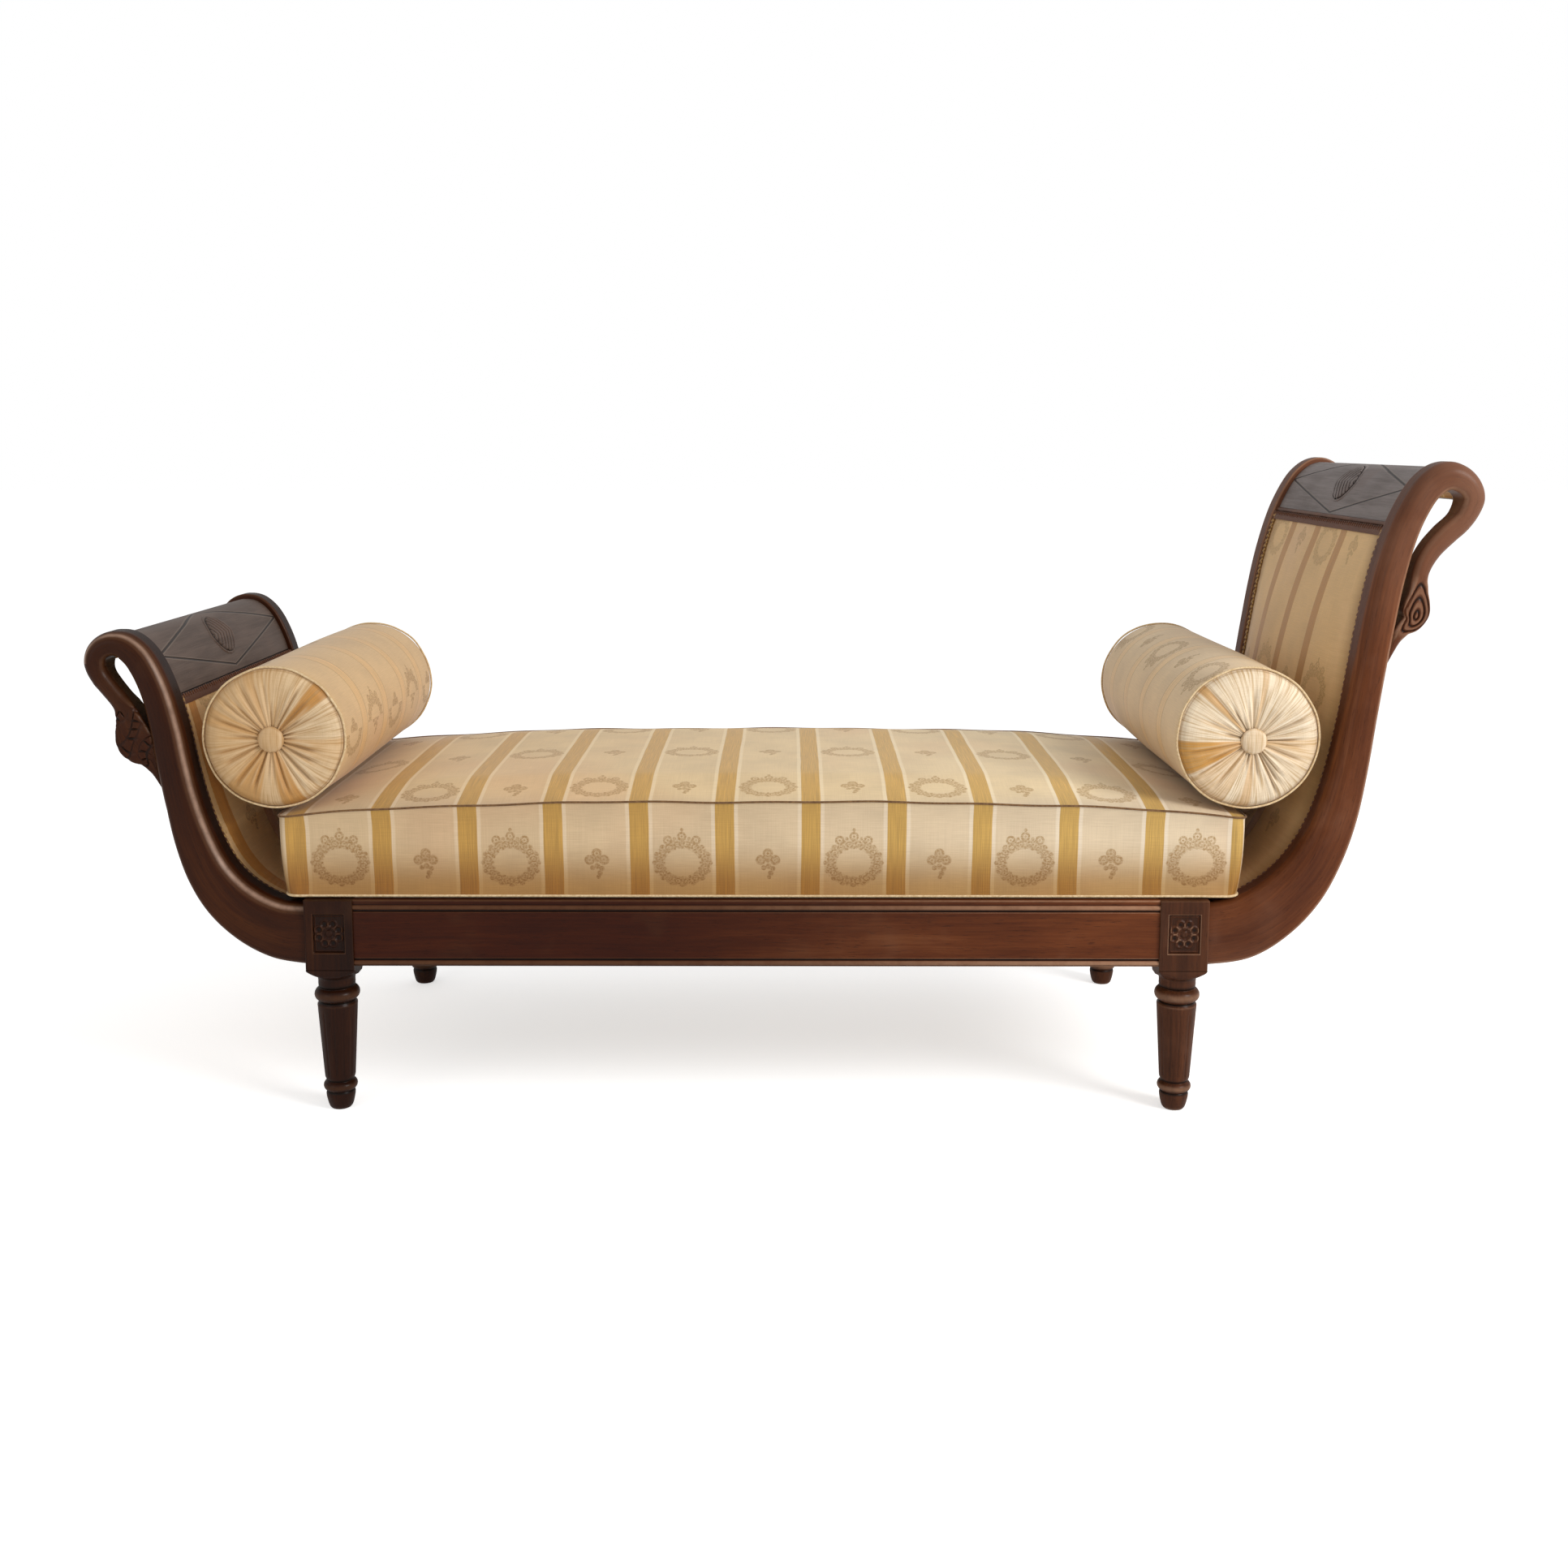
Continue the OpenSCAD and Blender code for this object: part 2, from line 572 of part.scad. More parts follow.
// The back panel stops where the scroll is too thin to hold both it and what lies before it.
module back_panel(line, low, joint) {
  pad_room = pad_recess + pad_thick + back_recess + back_thick + clear;
  crest_room = crest_recess + crest_thick + back_recess + back_thick + clear;
  thin = [for (k = [1 : joint]) if (line[k][2] < (k < low ? pad_room : crest_room)) k];
  high = min(concat(thin, [joint + 1])) - 1;
  slab(-stile_inner, stile_inner) polygon(concat(
    [for (k = [1 : high]) outside(line, k, back_recess + back_thick)],
    [for (k = [high : -1 : 1]) outside(line, k, back_recess)]));
}
module back_panel_foot() { color("tan") at_foot() back_panel(foot_line, foot_crest_low, foot_joint); }
module back_panel_head() { color("tan") at_head() back_panel(head_line, head_crest_low, head_joint); }

// End pads: rows run up the curve and columns run across the seat
pad_shares = [-1, -0.957, -0.8, -0.55, -0.28, 0, 0.28, 0.55, 0.8, 0.957, 1];
function pad_puff(y, t) = pad_crown * (1 - pow(abs(y), 3)) * pow(sin(180 * pow(min(1, t), 1.5)), 1.3);
module pad(line, rows) {
  high = len(rows) - 1;
  cols = len(pad_shares) - 1;
  half = stile_inner - clear;
  edge = 1 - (gimp_width + 2 * clear) / stile_inner;
  face = [for (i = [0 : high]) for (s = pad_shares)
    let (p = inside(line, rows[i], pad_recess - pad_puff(min(1, abs(s) / edge), i / (high - 2))))
      [p[0], s * half, p[1]]];
  back = [for (i = [0 : high]) for (s = pad_shares)
    let (p = inside(line, rows[i], pad_recess + pad_thick)) [p[0], s * half, p[1]]];
  n = cols + 1;
  m = len(face);
  polyhedron(concat(face, back), concat(
    [for (i = [0 : high - 1]) for (j = [0 : cols - 1])
      [i * n + j, i * n + j + 1, (i + 1) * n + j + 1, (i + 1) * n + j]],
    [for (i = [0 : high - 1]) for (j = [0 : cols - 1])
      [m + i * n + j, m + (i + 1) * n + j, m + (i + 1) * n + j + 1, m + i * n + j + 1]],
    [for (j = [0 : cols - 1]) [j, m + j, m + j + 1, j + 1]],
    [for (j = [0 : cols - 1]) [high * n + j, high * n + j + 1, m + high * n + j + 1, m + high * n + j]],
    [for (i = [0 : high - 1]) [i * n, (i + 1) * n, m + (i + 1) * n, m + i * n]],
    [for (i = [0 : high - 1]) [i * n + cols, m + i * n + cols, m + (i + 1) * n + cols, (i + 1) * n + cols]]));
}
module end_pad_foot() { color("wheat") at_foot() pad(foot_fine, pad_rows(foot_crest_low)); }
module end_pad_head() { color("wheat") at_head() pad(head_fine, pad_rows(head_crest_low)); }
module gimp(line, rows) {
  high = rows[len(rows) - 1];
  for (s = [0, 1]) mirror([0, s, 0])
    slab(stile_inner - gimp_width - clear, stile_inner - clear)
      polygon(strip(line, rows, pad_recess - clear - gimp_thick, pad_recess - clear));
  slab(-stile_inner + clear, stile_inner - clear)
    polygon(band(line, high - 1, high, pad_recess - clear - gimp_thick, pad_recess - clear));
}
module gimp_foot() { color("darkgoldenrod") at_foot() gimp(foot_fine, pad_rows(foot_crest_low)); }
module gimp_head() { color("darkgoldenrod") at_head() gimp(head_fine, pad_rows(head_crest_low)); }

// Deck and webbing
module webbing_cross() {
  color("goldenrod")
    for (k = [0 : cross_straps - 1])
      translate([foot_x + block + (rail_run - block) * (k + 0.5) / cross_straps - strap_width / 2,
        -rail_inner - rebate_width, bed])
        cube([strap_width, 2 * (rail_inner + rebate_width), strap_thick]);
}
module webbing_long() {
  long = leg_span + 2 * end_rail_in + 2 * rebate_width;
  color("goldenrod")
    for (k = [0 : long_straps - 1])
      translate([foot_x - end_rail_in - rebate_width,
        -end_span / 2 + end_span * (k + 0.5) / long_straps - strap_width / 2, bed]) {
        translate([0, 0, strap_thick]) cube([long, strap_width, strap_thick]);
        cube([rebate_width, strap_width, strap_thick]);
        translate([long - rebate_width, 0, 0]) cube([rebate_width, strap_width, strap_thick]);
      }
}
module deck() {
  long = leg_span + 2 * end_rail_in + 2 * rebate_width - 2 * clear;
  wide = 2 * (rail_inner + rebate_width - clear);
  color("beige") translate([0, 0, bed + 2 * strap_thick]) linear_extrude(deck_thick) union() {
    translate([foot_x - end_rail_in - rebate_width + clear, -end_span / 2 + clear])
      square([long, end_span - 2 * clear]);
    translate([foot_x + block / 2 + clear, -wide / 2]) square([rail_run - 2 * clear, wide]);
  }
}

// The cushion lies between the inner faces of the scroll ends
cushion_left = foot_x - face_at(foot_line, seat_level) + foot_end_gap - cushion_lean;
cushion_right = head_x + face_at(head_line, seat_level) - head_end_gap + cushion_lean;
cushion_length = cushion_right - cushion_left;
cushion_depth = depth - 2 * cushion_setback;
cushion_x = (cushion_left + cushion_right) / 2;

// Seat cushion: rings of points from the middle of the top, round the sides, to the middle of the base
corner_steps = 6;
plan_hx = cushion_length / 2 - cushion_corner;
plan_hy = cushion_depth / 2 - cushion_corner;
function corner(cx, cy, from) = [for (k = [0 : corner_steps]) let (a = from + 90 * k / corner_steps)
  [[cx + cushion_corner * cos(a), cy + cushion_corner * sin(a)], [cos(a), sin(a)]]];
function side(a, b, out, n) = [for (k = [1 : n - 1]) [a + (b - a) * k / n, out]];
// Each point of the plan has its place and its outward direction.
plan = concat(
  corner(plan_hx, plan_hy, 0),
  side([plan_hx, plan_hy + cushion_corner], [-plan_hx, plan_hy + cushion_corner], [0, 1], 12),
  corner(-plan_hx, plan_hy, 90),
  side([-plan_hx - cushion_corner, plan_hy], [-plan_hx - cushion_corner, -plan_hy], [-1, 0], 5),
  corner(-plan_hx, -plan_hy, 180),
  side([-plan_hx, -plan_hy - cushion_corner], [plan_hx, -plan_hy - cushion_corner], [0, -1], 12),
  corner(plan_hx, -plan_hy, 270),
  side([plan_hx + cushion_corner, -plan_hy], [plan_hx + cushion_corner, plan_hy], [1, 0], 5));
top_shares = [0.3, 0.55, 0.75, 0.88, 0.96];
side_shares = [0, 0.1, 0.3, 0.5, 0.7, 0.9, 1];
function edge_height(x) = cushion_end_height + cushion_arch * (1 - pow(abs(x) * 2 / cushion_length, 3));
function swell(s) = -piping_radius + (piping_radius + cushion_bulge) * 4 * s * (1 - s);
function top_ring(s) = [for (p = plan)
  let (q = (p[0] - p[1] * piping_radius) * s)
    [cushion_x + q[0], q[1], seat_level + edge_height(q[0]) + cushion_crown * (1 - pow(s, 4))]];
function lean(s) = 1 - s * 2 * cushion_lean / cushion_length;
function side_ring(s) = [for (p = plan)
  let (q = p[0] + p[1] * swell(s))
    [cushion_x + q[0] * lean(s), q[1], seat_level + piping_radius * (s == 1 ? 0.5 : 1)
      + (edge_height(p[0][0]) - piping_radius) * (1 - s)]];
function base_ring(s) = [for (p = plan) [cushion_x + p[0][0] * s * lean(1), p[0][1] * s, seat_level]];
module seat_cushion() {
  n = len(plan);
  rings = concat([for (s = top_shares) top_ring(s)], [for (s = side_shares) side_ring(s)],
    [base_ring(0.975), base_ring(0.6)]);
  points = concat(
    [[cushion_x, 0, seat_level + edge_height(0) + cushion_crown]],
    [for (r = rings) for (p = r) p],
    [[cushion_x, 0, seat_level]]);
  last = len(points) - 1;
  color("wheat") polyhedron(points, concat(
    [for (k = [0 : n - 1]) [0, 1 + (k + 1) % n, 1 + k]],
    [for (i = [0 : len(rings) - 2]) for (k = [0 : n - 1])
      [1 + i * n + k, 1 + i * n + (k + 1) % n, 1 + (i + 1) * n + (k + 1) % n, 1 + (i + 1) * n + k]],
    [for (k = [0 : n - 1]) [last, 1 + (len(rings) - 1) * n + k, 1 + (len(rings) - 1) * n + (k + 1) % n]]));
}
// A welt round the cushion plan, six-sided in section
module welt(share) {
  n = len(plan);
  sides = 6;
  seam = clear * (4 - 3 * share);
  points = [for (p = plan) for (k = [0 : sides - 1])
    let (a = 360 * k / sides, q = p[0] + p[1] * (seam + piping_radius * cos(a)))
      [cushion_x + q[0] * lean(1 - share), q[1], seat_level + piping_radius
        + (edge_height(p[0][0]) - piping_radius) * share + piping_radius * sin(a)]];
  polyhedron(points, [for (i = [0 : n - 1]) for (k = [0 : sides - 1])
    [i * sides + k, i * sides + (k + 1) % sides,
      ((i + 1) % n) * sides + (k + 1) % sides, ((i + 1) % n) * sides + k]]);
}
module cushion_piping_top() { color("tan") welt(1); }
module cushion_piping_bottom() { color("tan") welt(0); }

// Bolsters, drawn along Y
bolster_length = cushion_depth - 2 * bolster_setback;
half_bolster = bolster_length / 2;
bolster_level = seat_level + cushion_end_height + bolster_radius;
foot_bolster_x = foot_x - face_at(foot_line, bolster_level) + foot_bolster_gap + bolster_radius;
head_bolster_x = head_x + face_at(head_line, bolster_level) - head_bolster_gap - bolster_radius;
end_shares = [[0.17, 1], [0.30, 1.3], [0.55, 1.85], [0.78, 1.9], [0.92, 1.2]];
bolster_flat = half_bolster + bolster_swell - bolster_dip;
bolster_edge = smooth(concat(
  [for (s = end_shares) [s[0] * bolster_radius, half_bolster + (bolster_swell - bolster_dip) * s[1]]],
  [[bolster_radius - piping_radius, half_bolster], [bolster_radius - piping_radius / 2, half_bolster - 3 * piping_radius],
    [bolster_radius, half_bolster / 2], [bolster_radius, 0]]), 4);
module bolster() {
  rotate([90, 0, 0]) rotate_extrude($fn = 72) difference() {
    polygon(concat(
      [[0, bolster_flat]], bolster_edge,
      [for (k = [len(bolster_edge) - 1 : -1 : 0]) [bolster_edge[k][0], -bolster_edge[k][1]]],
      [[0, -bolster_flat]]));
    for (s = [-1, 1])
      translate([bolster_radius + clear, s * half_bolster]) circle(piping_radius + slip, $fn = 32);
  }
}
module bolster_rings() {
  for (s = [-1, 1])
    rotate([90, 0, 0]) translate([0, 0, s * half_bolster])
      rotate_extrude($fn = 72) translate([bolster_radius + clear, 0]) circle(piping_radius, $fn = 16);
}
module bolster_button() {
  rotate_extrude() intersection() {
    translate([0, -button_radius]) circle(button_radius * 1.3);
    square([button_radius * 0.86, button_radius]);
  }
}
module bolster_buttons() {
  for (s = [0, 1]) mirror([0, s, 0]) translate([0, bolster_flat, 0]) rotate([-90, 0, 0]) bolster_button();
}
// Level of a bolster's axis when its piping lies on the cushion's top welt
perch_steps = 400;
function perch(x) = seat_level + piping_radius + clear + max([for (k = [0 : perch_steps])
  let (q = cushion_length * (k / perch_steps - 0.5), d = cushion_x + q - x, r = bolster_radius + clear + piping_radius)
    if (abs(d) < r) edge_height(q) + sqrt(r * r - d * d)]);
module at_foot_bolster() {
  translate([foot_bolster_x, 0, perch(foot_bolster_x)]) children();
}
module at_head_bolster() {
  translate([head_bolster_x, 0, perch(head_bolster_x)]) children();
}
module foot_bolster() { color("wheat") at_foot_bolster() bolster(); }
module foot_bolster_piping() { color("tan") at_foot_bolster() bolster_rings(); }
module foot_bolster_buttons() { color("tan") at_foot_bolster() bolster_buttons(); }
module head_bolster() { color("wheat") at_head_bolster() bolster(); }
module head_bolster_piping() { color("tan") at_head_bolster() bolster_rings(); }
module head_bolster_buttons() { color("tan") at_head_bolster() bolster_buttons(); }

leg_front_foot();
leg_front_head();
leg_rear_foot();
leg_rear_head();
seat_rail_front();
seat_rail_rear();
end_rail_foot();
end_rail_head();
bearer_foot();
bearer_middle();
bearer_head();
brace_front_foot();
brace_front_head();
brace_rear_foot();
brace_rear_head();
brace_screws();
scroll_dowels();
stile_front_foot();
stile_rear_foot();
stile_front_head();
stile_rear_head();
swan_front_foot();
swan_rear_foot();
swan_front_head();
swan_rear_head();
crest_foot();
crest_head();
end_slats_foot();
end_slats_head();
back_panel_foot();
back_panel_head();
end_pad_foot();
end_pad_head();
gimp_foot();
gimp_head();
webbing_cross();
webbing_long();
deck();
seat_cushion();
cushion_piping_top();
cushion_piping_bottom();
foot_bolster();
foot_bolster_piping();
foot_bolster_buttons();
head_bolster();
head_bolster_piping();
head_bolster_buttons();
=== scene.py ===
import math

import bpy
import numpy as np
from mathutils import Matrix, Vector


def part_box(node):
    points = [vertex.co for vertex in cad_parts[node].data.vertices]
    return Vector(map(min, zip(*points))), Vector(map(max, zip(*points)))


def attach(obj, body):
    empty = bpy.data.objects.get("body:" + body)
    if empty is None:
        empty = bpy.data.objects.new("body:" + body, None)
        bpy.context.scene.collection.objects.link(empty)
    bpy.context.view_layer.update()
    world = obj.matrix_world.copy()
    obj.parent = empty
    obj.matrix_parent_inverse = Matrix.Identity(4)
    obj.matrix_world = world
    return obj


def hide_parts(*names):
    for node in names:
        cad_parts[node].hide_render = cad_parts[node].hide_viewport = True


# %% [markdown]
# A recamier is a backless couch with two ends of unequal height that roll outwards.
# On this one the front and rear posts of each end finish as swan necks: the wood climbs,
# turns over in a tight roll, and hangs back down as a neck whose carved head lies on the post.
# Between the posts sit a plank crest and a padded panel. A loose box cushion and two loose
# round bolsters lie on a webbed deck.
#
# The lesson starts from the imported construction, which fixes every size, joint and resting place.
# Everything made here is the visible surface of a piece that the construction already holds.

# %% Load the construction
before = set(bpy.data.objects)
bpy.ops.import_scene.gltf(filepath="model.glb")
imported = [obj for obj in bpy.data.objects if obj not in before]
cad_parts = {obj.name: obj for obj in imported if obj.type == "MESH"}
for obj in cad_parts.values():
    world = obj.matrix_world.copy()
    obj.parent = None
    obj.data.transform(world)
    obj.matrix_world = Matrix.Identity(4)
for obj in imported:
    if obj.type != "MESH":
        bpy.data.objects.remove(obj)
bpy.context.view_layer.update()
print("pieces in the construction:", len(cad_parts))

# %% [markdown]
# A maker works from a few driving sizes and reads the rest off the piece. The boxes of the packed
# pieces give the leg blocks, the rails and the places of the loose pieces, so nothing here is
# measured twice.

# %% Read the driving sizes off the construction
leg_low, leg_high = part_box("leg_rear_head")
foot_leg_low, foot_leg_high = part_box("leg_rear_foot")
rail_low, rail_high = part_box("seat_rail_rear")
stile_low, stile_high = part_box("stile_rear_head")
block = leg_high.x - leg_low.x
head_x = (leg_low.x + leg_high.x) / 2
foot_x = (foot_leg_low.x + foot_leg_high.x) / 2
leg_y = (leg_low.y + leg_high.y) / 2
rail_bottom = rail_low.z
rail_top = rail_high.z
rail_height = rail_top - rail_bottom
stile_inner = stile_low.y
rail_face = stile_high.y
print(f"leg blocks {block:.3f} m square, {head_x - foot_x:.3f} m apart")

# %% [markdown]
# The camera stands where the photograph was taken: a little above the seat, looking slightly down.
# A longer lens keeps the two scrolls from bulging. The vertical shift moves the picture without
# tilting the camera, as a view camera does.

# %% Stand the camera
FULL_FRAME_WIDTH = 36.0
FOCAL_LENGTH = 38.01
LOOKING_DOWN, TURNED = 7.87, 0.19


def put(name, data):
    """Puts a new object into the scene, at the origin."""
    made = bpy.data.objects.new(name, data)
    bpy.context.scene.collection.objects.link(made)
    return made


camera_data = bpy.data.cameras.new("camera")
camera_data.sensor_width = FULL_FRAME_WIDTH
camera_data.lens = FOCAL_LENGTH
camera_data.shift_y = -0.0731
camera = put("camera", camera_data)
camera.location = (0.0147, -2.6233, 0.9757)
camera.rotation_euler = (math.radians(90 - LOOKING_DOWN), 0, math.radians(TURNED))
bpy.context.scene.camera = camera
print("camera height", camera.location.z)

# %% [markdown]
# Node trees are easier to read as algebra. A Wire wraps one output socket, so `a * 2 + b` builds
# the two Math nodes that it says. A Board wraps a tree and adds any other node in one call.
# Both work for materials and for Geometry Nodes, because the two kinds of tree share these nodes.

# %% A small algebra for node trees
class Wire:
    """One output socket of a node."""

    def __init__(self, board, node, out=0):
        self.board, self.node, self.socket = board, node, node.outputs[out]

    def __getitem__(self, out):
        return Wire(self.board, self.node, out)

    def __add__(self, other):
        return self.board.math("ADD", self, other)

    def __sub__(self, other):
        return self.board.math("SUBTRACT", self, other)

    def __mul__(self, other):
        return self.board.math("MULTIPLY", self, other)

    def __truediv__(self, other):
        return self.board.math("DIVIDE", self, other)

    def __rsub__(self, other):
        return self.board.math("SUBTRACT", other, self)

    def __abs__(self):
        return self.board.math("ABSOLUTE", self)

    __radd__ = __add__
    __rmul__ = __mul__


print("wires add, subtract, multiply and divide")


# %% A board for the nodes
class Board:
    """A node tree that is filled by calls."""

    def __init__(self, tree):
        self.tree = tree

    def feed(self, socket, value):
        if isinstance(value, Wire):
            self.tree.links.new(value.socket, socket)
        else:
            socket.default_value = value

    def node(self, kind, settings=None, out=0, **sockets):
        made = self.tree.nodes.new(kind)
        for name, value in (settings or {}).items():
            setattr(made, name, value)
        for name, value in sockets.items():
            self.feed(made.inputs[name.replace("_", " ")], value)
        return Wire(self, made, out)

    def listed(self, kind, settings, *values, out=0):
        """A node whose sockets are fed in their order, for nodes that repeat a socket's name."""
        made = self.node(kind, settings, out)
        for socket, value in zip(made.node.inputs, values):
            self.feed(socket, value)
        return made

    def math(self, operation, *values):
        return self.listed("ShaderNodeMath", {"operation": operation}, *values)

    def vector(self, operation, *values, out=0):
        return self.listed("ShaderNodeVectorMath", {"operation": operation}, *values, out=out)

    def combine(self, x, y, z=0.0):
        return self.listed("ShaderNodeCombineXYZ", None, x, y, z)

    def split(self, vector):
        parts = self.node("ShaderNodeSeparateXYZ", Vector=vector)
        return parts["X"], parts["Y"], parts["Z"]

    def ramp(self, value, low, high, start=0.0, end=1.0):
        """Rises smoothly from start at low to end at high."""
        return self.node("ShaderNodeMapRange", {"interpolation_type": "SMOOTHSTEP"}, Value=value,
                         From_Min=low, From_Max=high, To_Min=start, To_Max=end)

    def blend(self, share, first, second, mode="MIX"):
        """Mixes two colours."""
        made = self.node("ShaderNodeMix", {"data_type": "RGBA", "blend_type": mode}, 2)
        for place, value in zip((0, 6, 7), (share, first, second)):
            self.feed(made.node.inputs[place], value)
        return made

    def largest(self, *values):
        total = values[0]
        for value in values[1:]:
            total = self.math("MAXIMUM", total, value)
        return total

    def place(self):
        """Where a point is on the piece, in metres."""
        return self.node("ShaderNodeTexCoord", None, "Object")

    def kept(self, name, out="Fac"):
        """An attribute that the piece carries."""
        return self.node("ShaderNodeAttribute", {"attribute_name": name}, out)

    def noise(self, vector, scale, detail=2.0, roughness=0.5):
        """Cloudy noise. A scale for each axis stretches it."""
        if isinstance(scale, tuple):
            vector, scale = self.vector("MULTIPLY", vector, scale), 1.0
        return self.node("ShaderNodeTexNoise", Vector=vector, Scale=scale,
                         Detail=detail, Roughness=roughness)


def paint(red, green, blue):
    """A colour as a painter mixes it on the screen, 0 to 255, turned into linear light."""
    def linear(v):
        v = v / 255
        return v / 12.92 if v <= 0.04045 else ((v + 0.055) / 1.055) ** 2.4
    return (linear(red), linear(green), linear(blue), 1.0)


print("a board can add", len([m for m in dir(Board) if m[0] != "_"]), "kinds of node")

# %% [markdown]
# Every finish is one function that returns a material. `surface` makes the empty material with its
# Principled shader. What is the same all over goes straight on the shader's own sockets, and only
# what changes over the surface is wired in.

# %% An empty finish
def layered(board, colour, *coats):
    """Lays thin coats over a colour, one after another. Each is a share and a paint."""
    for share, coat in coats:
        colour = board.blend(share, colour, paint(*coat))
    return colour


def toned(board, colour, share, first, second):
    """Multiplies a colour by a tone that runs from one value to another."""
    return board.blend(1.0, colour, board.blend(share, (*first, 1.0), (*second, 1.0)), "MULTIPLY")


def surface(name, **constants):
    material = bpy.data.materials.new(name)
    material.use_nodes = True
    board = Board(material.node_tree)
    shader = material.node_tree.nodes["Principled BSDF"]
    for socket, value in constants.items():
        shader.inputs[socket.replace("_", " ")].default_value = value
    return material, board, shader


def coat_surface(board, shader, colour, roughness, height, depth, strength=1.0):
    """Wires colour, roughness and a bump whose height is in the same unit as the piece."""
    board.feed(shader.inputs["Base Color"], colour)
    board.feed(shader.inputs["Roughness"], roughness)
    bump = board.node("ShaderNodeBump", Strength=strength, Distance=depth, Height=height)
    board.feed(shader.inputs["Normal"], bump)


print("empty finish ready")

# %% [markdown]
# Mahogany is a red-brown wood with short dark pores along the grain, slow dark and light bands,
# and a wax polish worn pale on the arrises and nearly black in the corners: the pale arrises are
# partly a painted highlight, and the dark beside the seat is painted shade. The pieces carry two
# attributes: `grain` is the place along and across the plank, in metres, so that the grain follows a
# curved post, and `wear` is 1 on an arris and -1 in a groove; above 1 it is a painted
# highlight, and on the face beside the seat it is painted shade. The foot end is almost black,
# partly its own tone and partly painted shade away from the window lamp, and the head end has faded,
# so a tone that runs from end to end multiplies the colour. The tops of the scrolls are lightened as
# painted sheen.

# %% Mahogany
def grain_place(board, along):
    """The place in the plank: from the piece's own attribute, or from its axis along X, Y or Z."""
    if along == "line":
        return board.kept("grain", "Vector")
    place = board.place()
    x, y, z = board.split(place)
    return board.combine(*{"X": (x, y, z), "Y": (y, x, z), "Z": (z, x, y)}[along])


def mahogany(name, along="line", dark=(72, 36, 18), middle=(102, 57, 31), light=(136, 86, 54),
             foot_fade_and_shade=(0.31, 0.23, 0.11), worn_and_lit_share=0.5):
    material, board, shader = surface(name, Coat_Weight=0.09, Coat_Roughness=0.22, Specular_IOR_Level=0.08)
    place = grain_place(board, along)
    x, _, z = board.split(board.place())
    wear = board.kept("wear")
    warp = board.listed("ShaderNodeVectorMath", {"operation": "SCALE"}, board.noise(place, 3.0)["Color"])
    warp.node.inputs["Scale"].default_value = 0.02
    bent = board.vector("ADD", place, warp)
    bands = board.noise(bent, (2.0, 22.0, 22.0), 5.0, 0.6)
    cloud = board.noise(bent, (5.0, 12.0, 12.0), 3.0, 0.55)
    pores = board.noise(bent, (45.0, 900.0, 900.0), 2.0, 0.6)
    streak = board.noise(bent, (7.0, 260.0, 260.0), 3.0, 0.6)
    tone = bands * 0.5 + streak * 0.25 + cloud * 0.25
    colour = board.blend(board.ramp(tone, 0.34, 0.62), paint(*dark), paint(*middle))
    pore = board.ramp(pores, 0.40, 0.30)
    colour = layered(board, colour, (board.ramp(tone, 0.52, 0.74), light), (pore * 0.5, (30, 14, 7)))
    # The foot end is darker, partly its own tone and partly painted shade away from the window lamp at the
    # right.
    fade_and_shade = board.ramp(x, -0.25, 0.65)
    colour = toned(board, colour, fade_and_shade, foot_fade_and_shade, (1.0, 0.93, 0.84))
    haze = board.noise(place, 7.0, 3.0, 0.6)
    # Lighter towards the tops of the scrolls as painted sheen, and in hazy patches where the wood has
    # bleached; pale is the colour of both.
    sheen_and_bleach = board.ramp(z, 0.64, 0.94) * board.ramp(haze, 0.36, 0.62, 0.45, 1.0)
    sheen_and_bleach = board.largest(sheen_and_bleach, board.ramp(haze, 0.54, 0.72) * 0.28)
    pale = board.blend(fade_and_shade, paint(108, 74, 46), paint(148, 108, 86))
    colour = board.blend(sheen_and_bleach * 0.42, colour, pale)
    rub = board.noise(place, 38.0, 4.0, 0.65)
    # The arrises are lighter, partly real wear and partly a painted highlight.
    worn_and_lit = board.ramp(wear, 0.22, 0.9) * board.ramp(rub, 0.25, 0.65, 0.6, 1.0)
    rubbed_and_lit = board.blend(fade_and_shade, paint(92, 60, 38), paint(170, 130, 102))
    colour = board.blend(worn_and_lit * worn_and_lit_share, colour, rubbed_and_lit)
    # A painted highlight where wear passes 1: the round beside the seat at the foot end.
    painted_highlight = board.ramp(wear, 1.0, 1.9) * board.ramp(rub, 0.2, 0.7, 0.4, 0.85)
    # Darker in the grooves, as grime, and on the face beside the seat, as painted shade.
    grime_and_shade = board.ramp(wear, -0.1, -0.9)
    colour = layered(board, colour, (painted_highlight, (168, 136, 116)), (grime_and_shade * 0.85, (12, 6, 3)))
    rough = 0.44 + bands * 0.14 + pore * 0.12 - worn_and_lit * 0.12
    coat_surface(board, shader, colour, rough, streak * 0.3 - pore * 0.7 + cloud * 0.5, 0.0003, 0.7)
    return material


carved_wood = mahogany("mahogany, along the line")
rail_wood = mahogany("mahogany, along X", "X", dark=(80, 38, 16), middle=(112, 61, 31),
                     foot_fade_and_shade=(0.26, 0.14, 0.04), worn_and_lit_share=0.78)
cross_wood = mahogany("mahogany, along Y", "Y")
turned_wood = mahogany("mahogany, along Z", "Z", dark=(56, 30, 16), middle=(84, 48, 28),
                       light=(118, 78, 52), foot_fade_and_shade=(0.27, 0.18, 0.07))
print("four cuts of one plank")

# %% [markdown]
# The crests are the driest wood: light has bleached them to a grey brown, and a lozenge is cut
# into each with a V tool. A third attribute, `place`, runs from -1 to 1 across and up the crest,
# so the cut is where the two shares add up to one. A line only a millimetre deep is drawn by the
# bump, which keeps the mesh light.

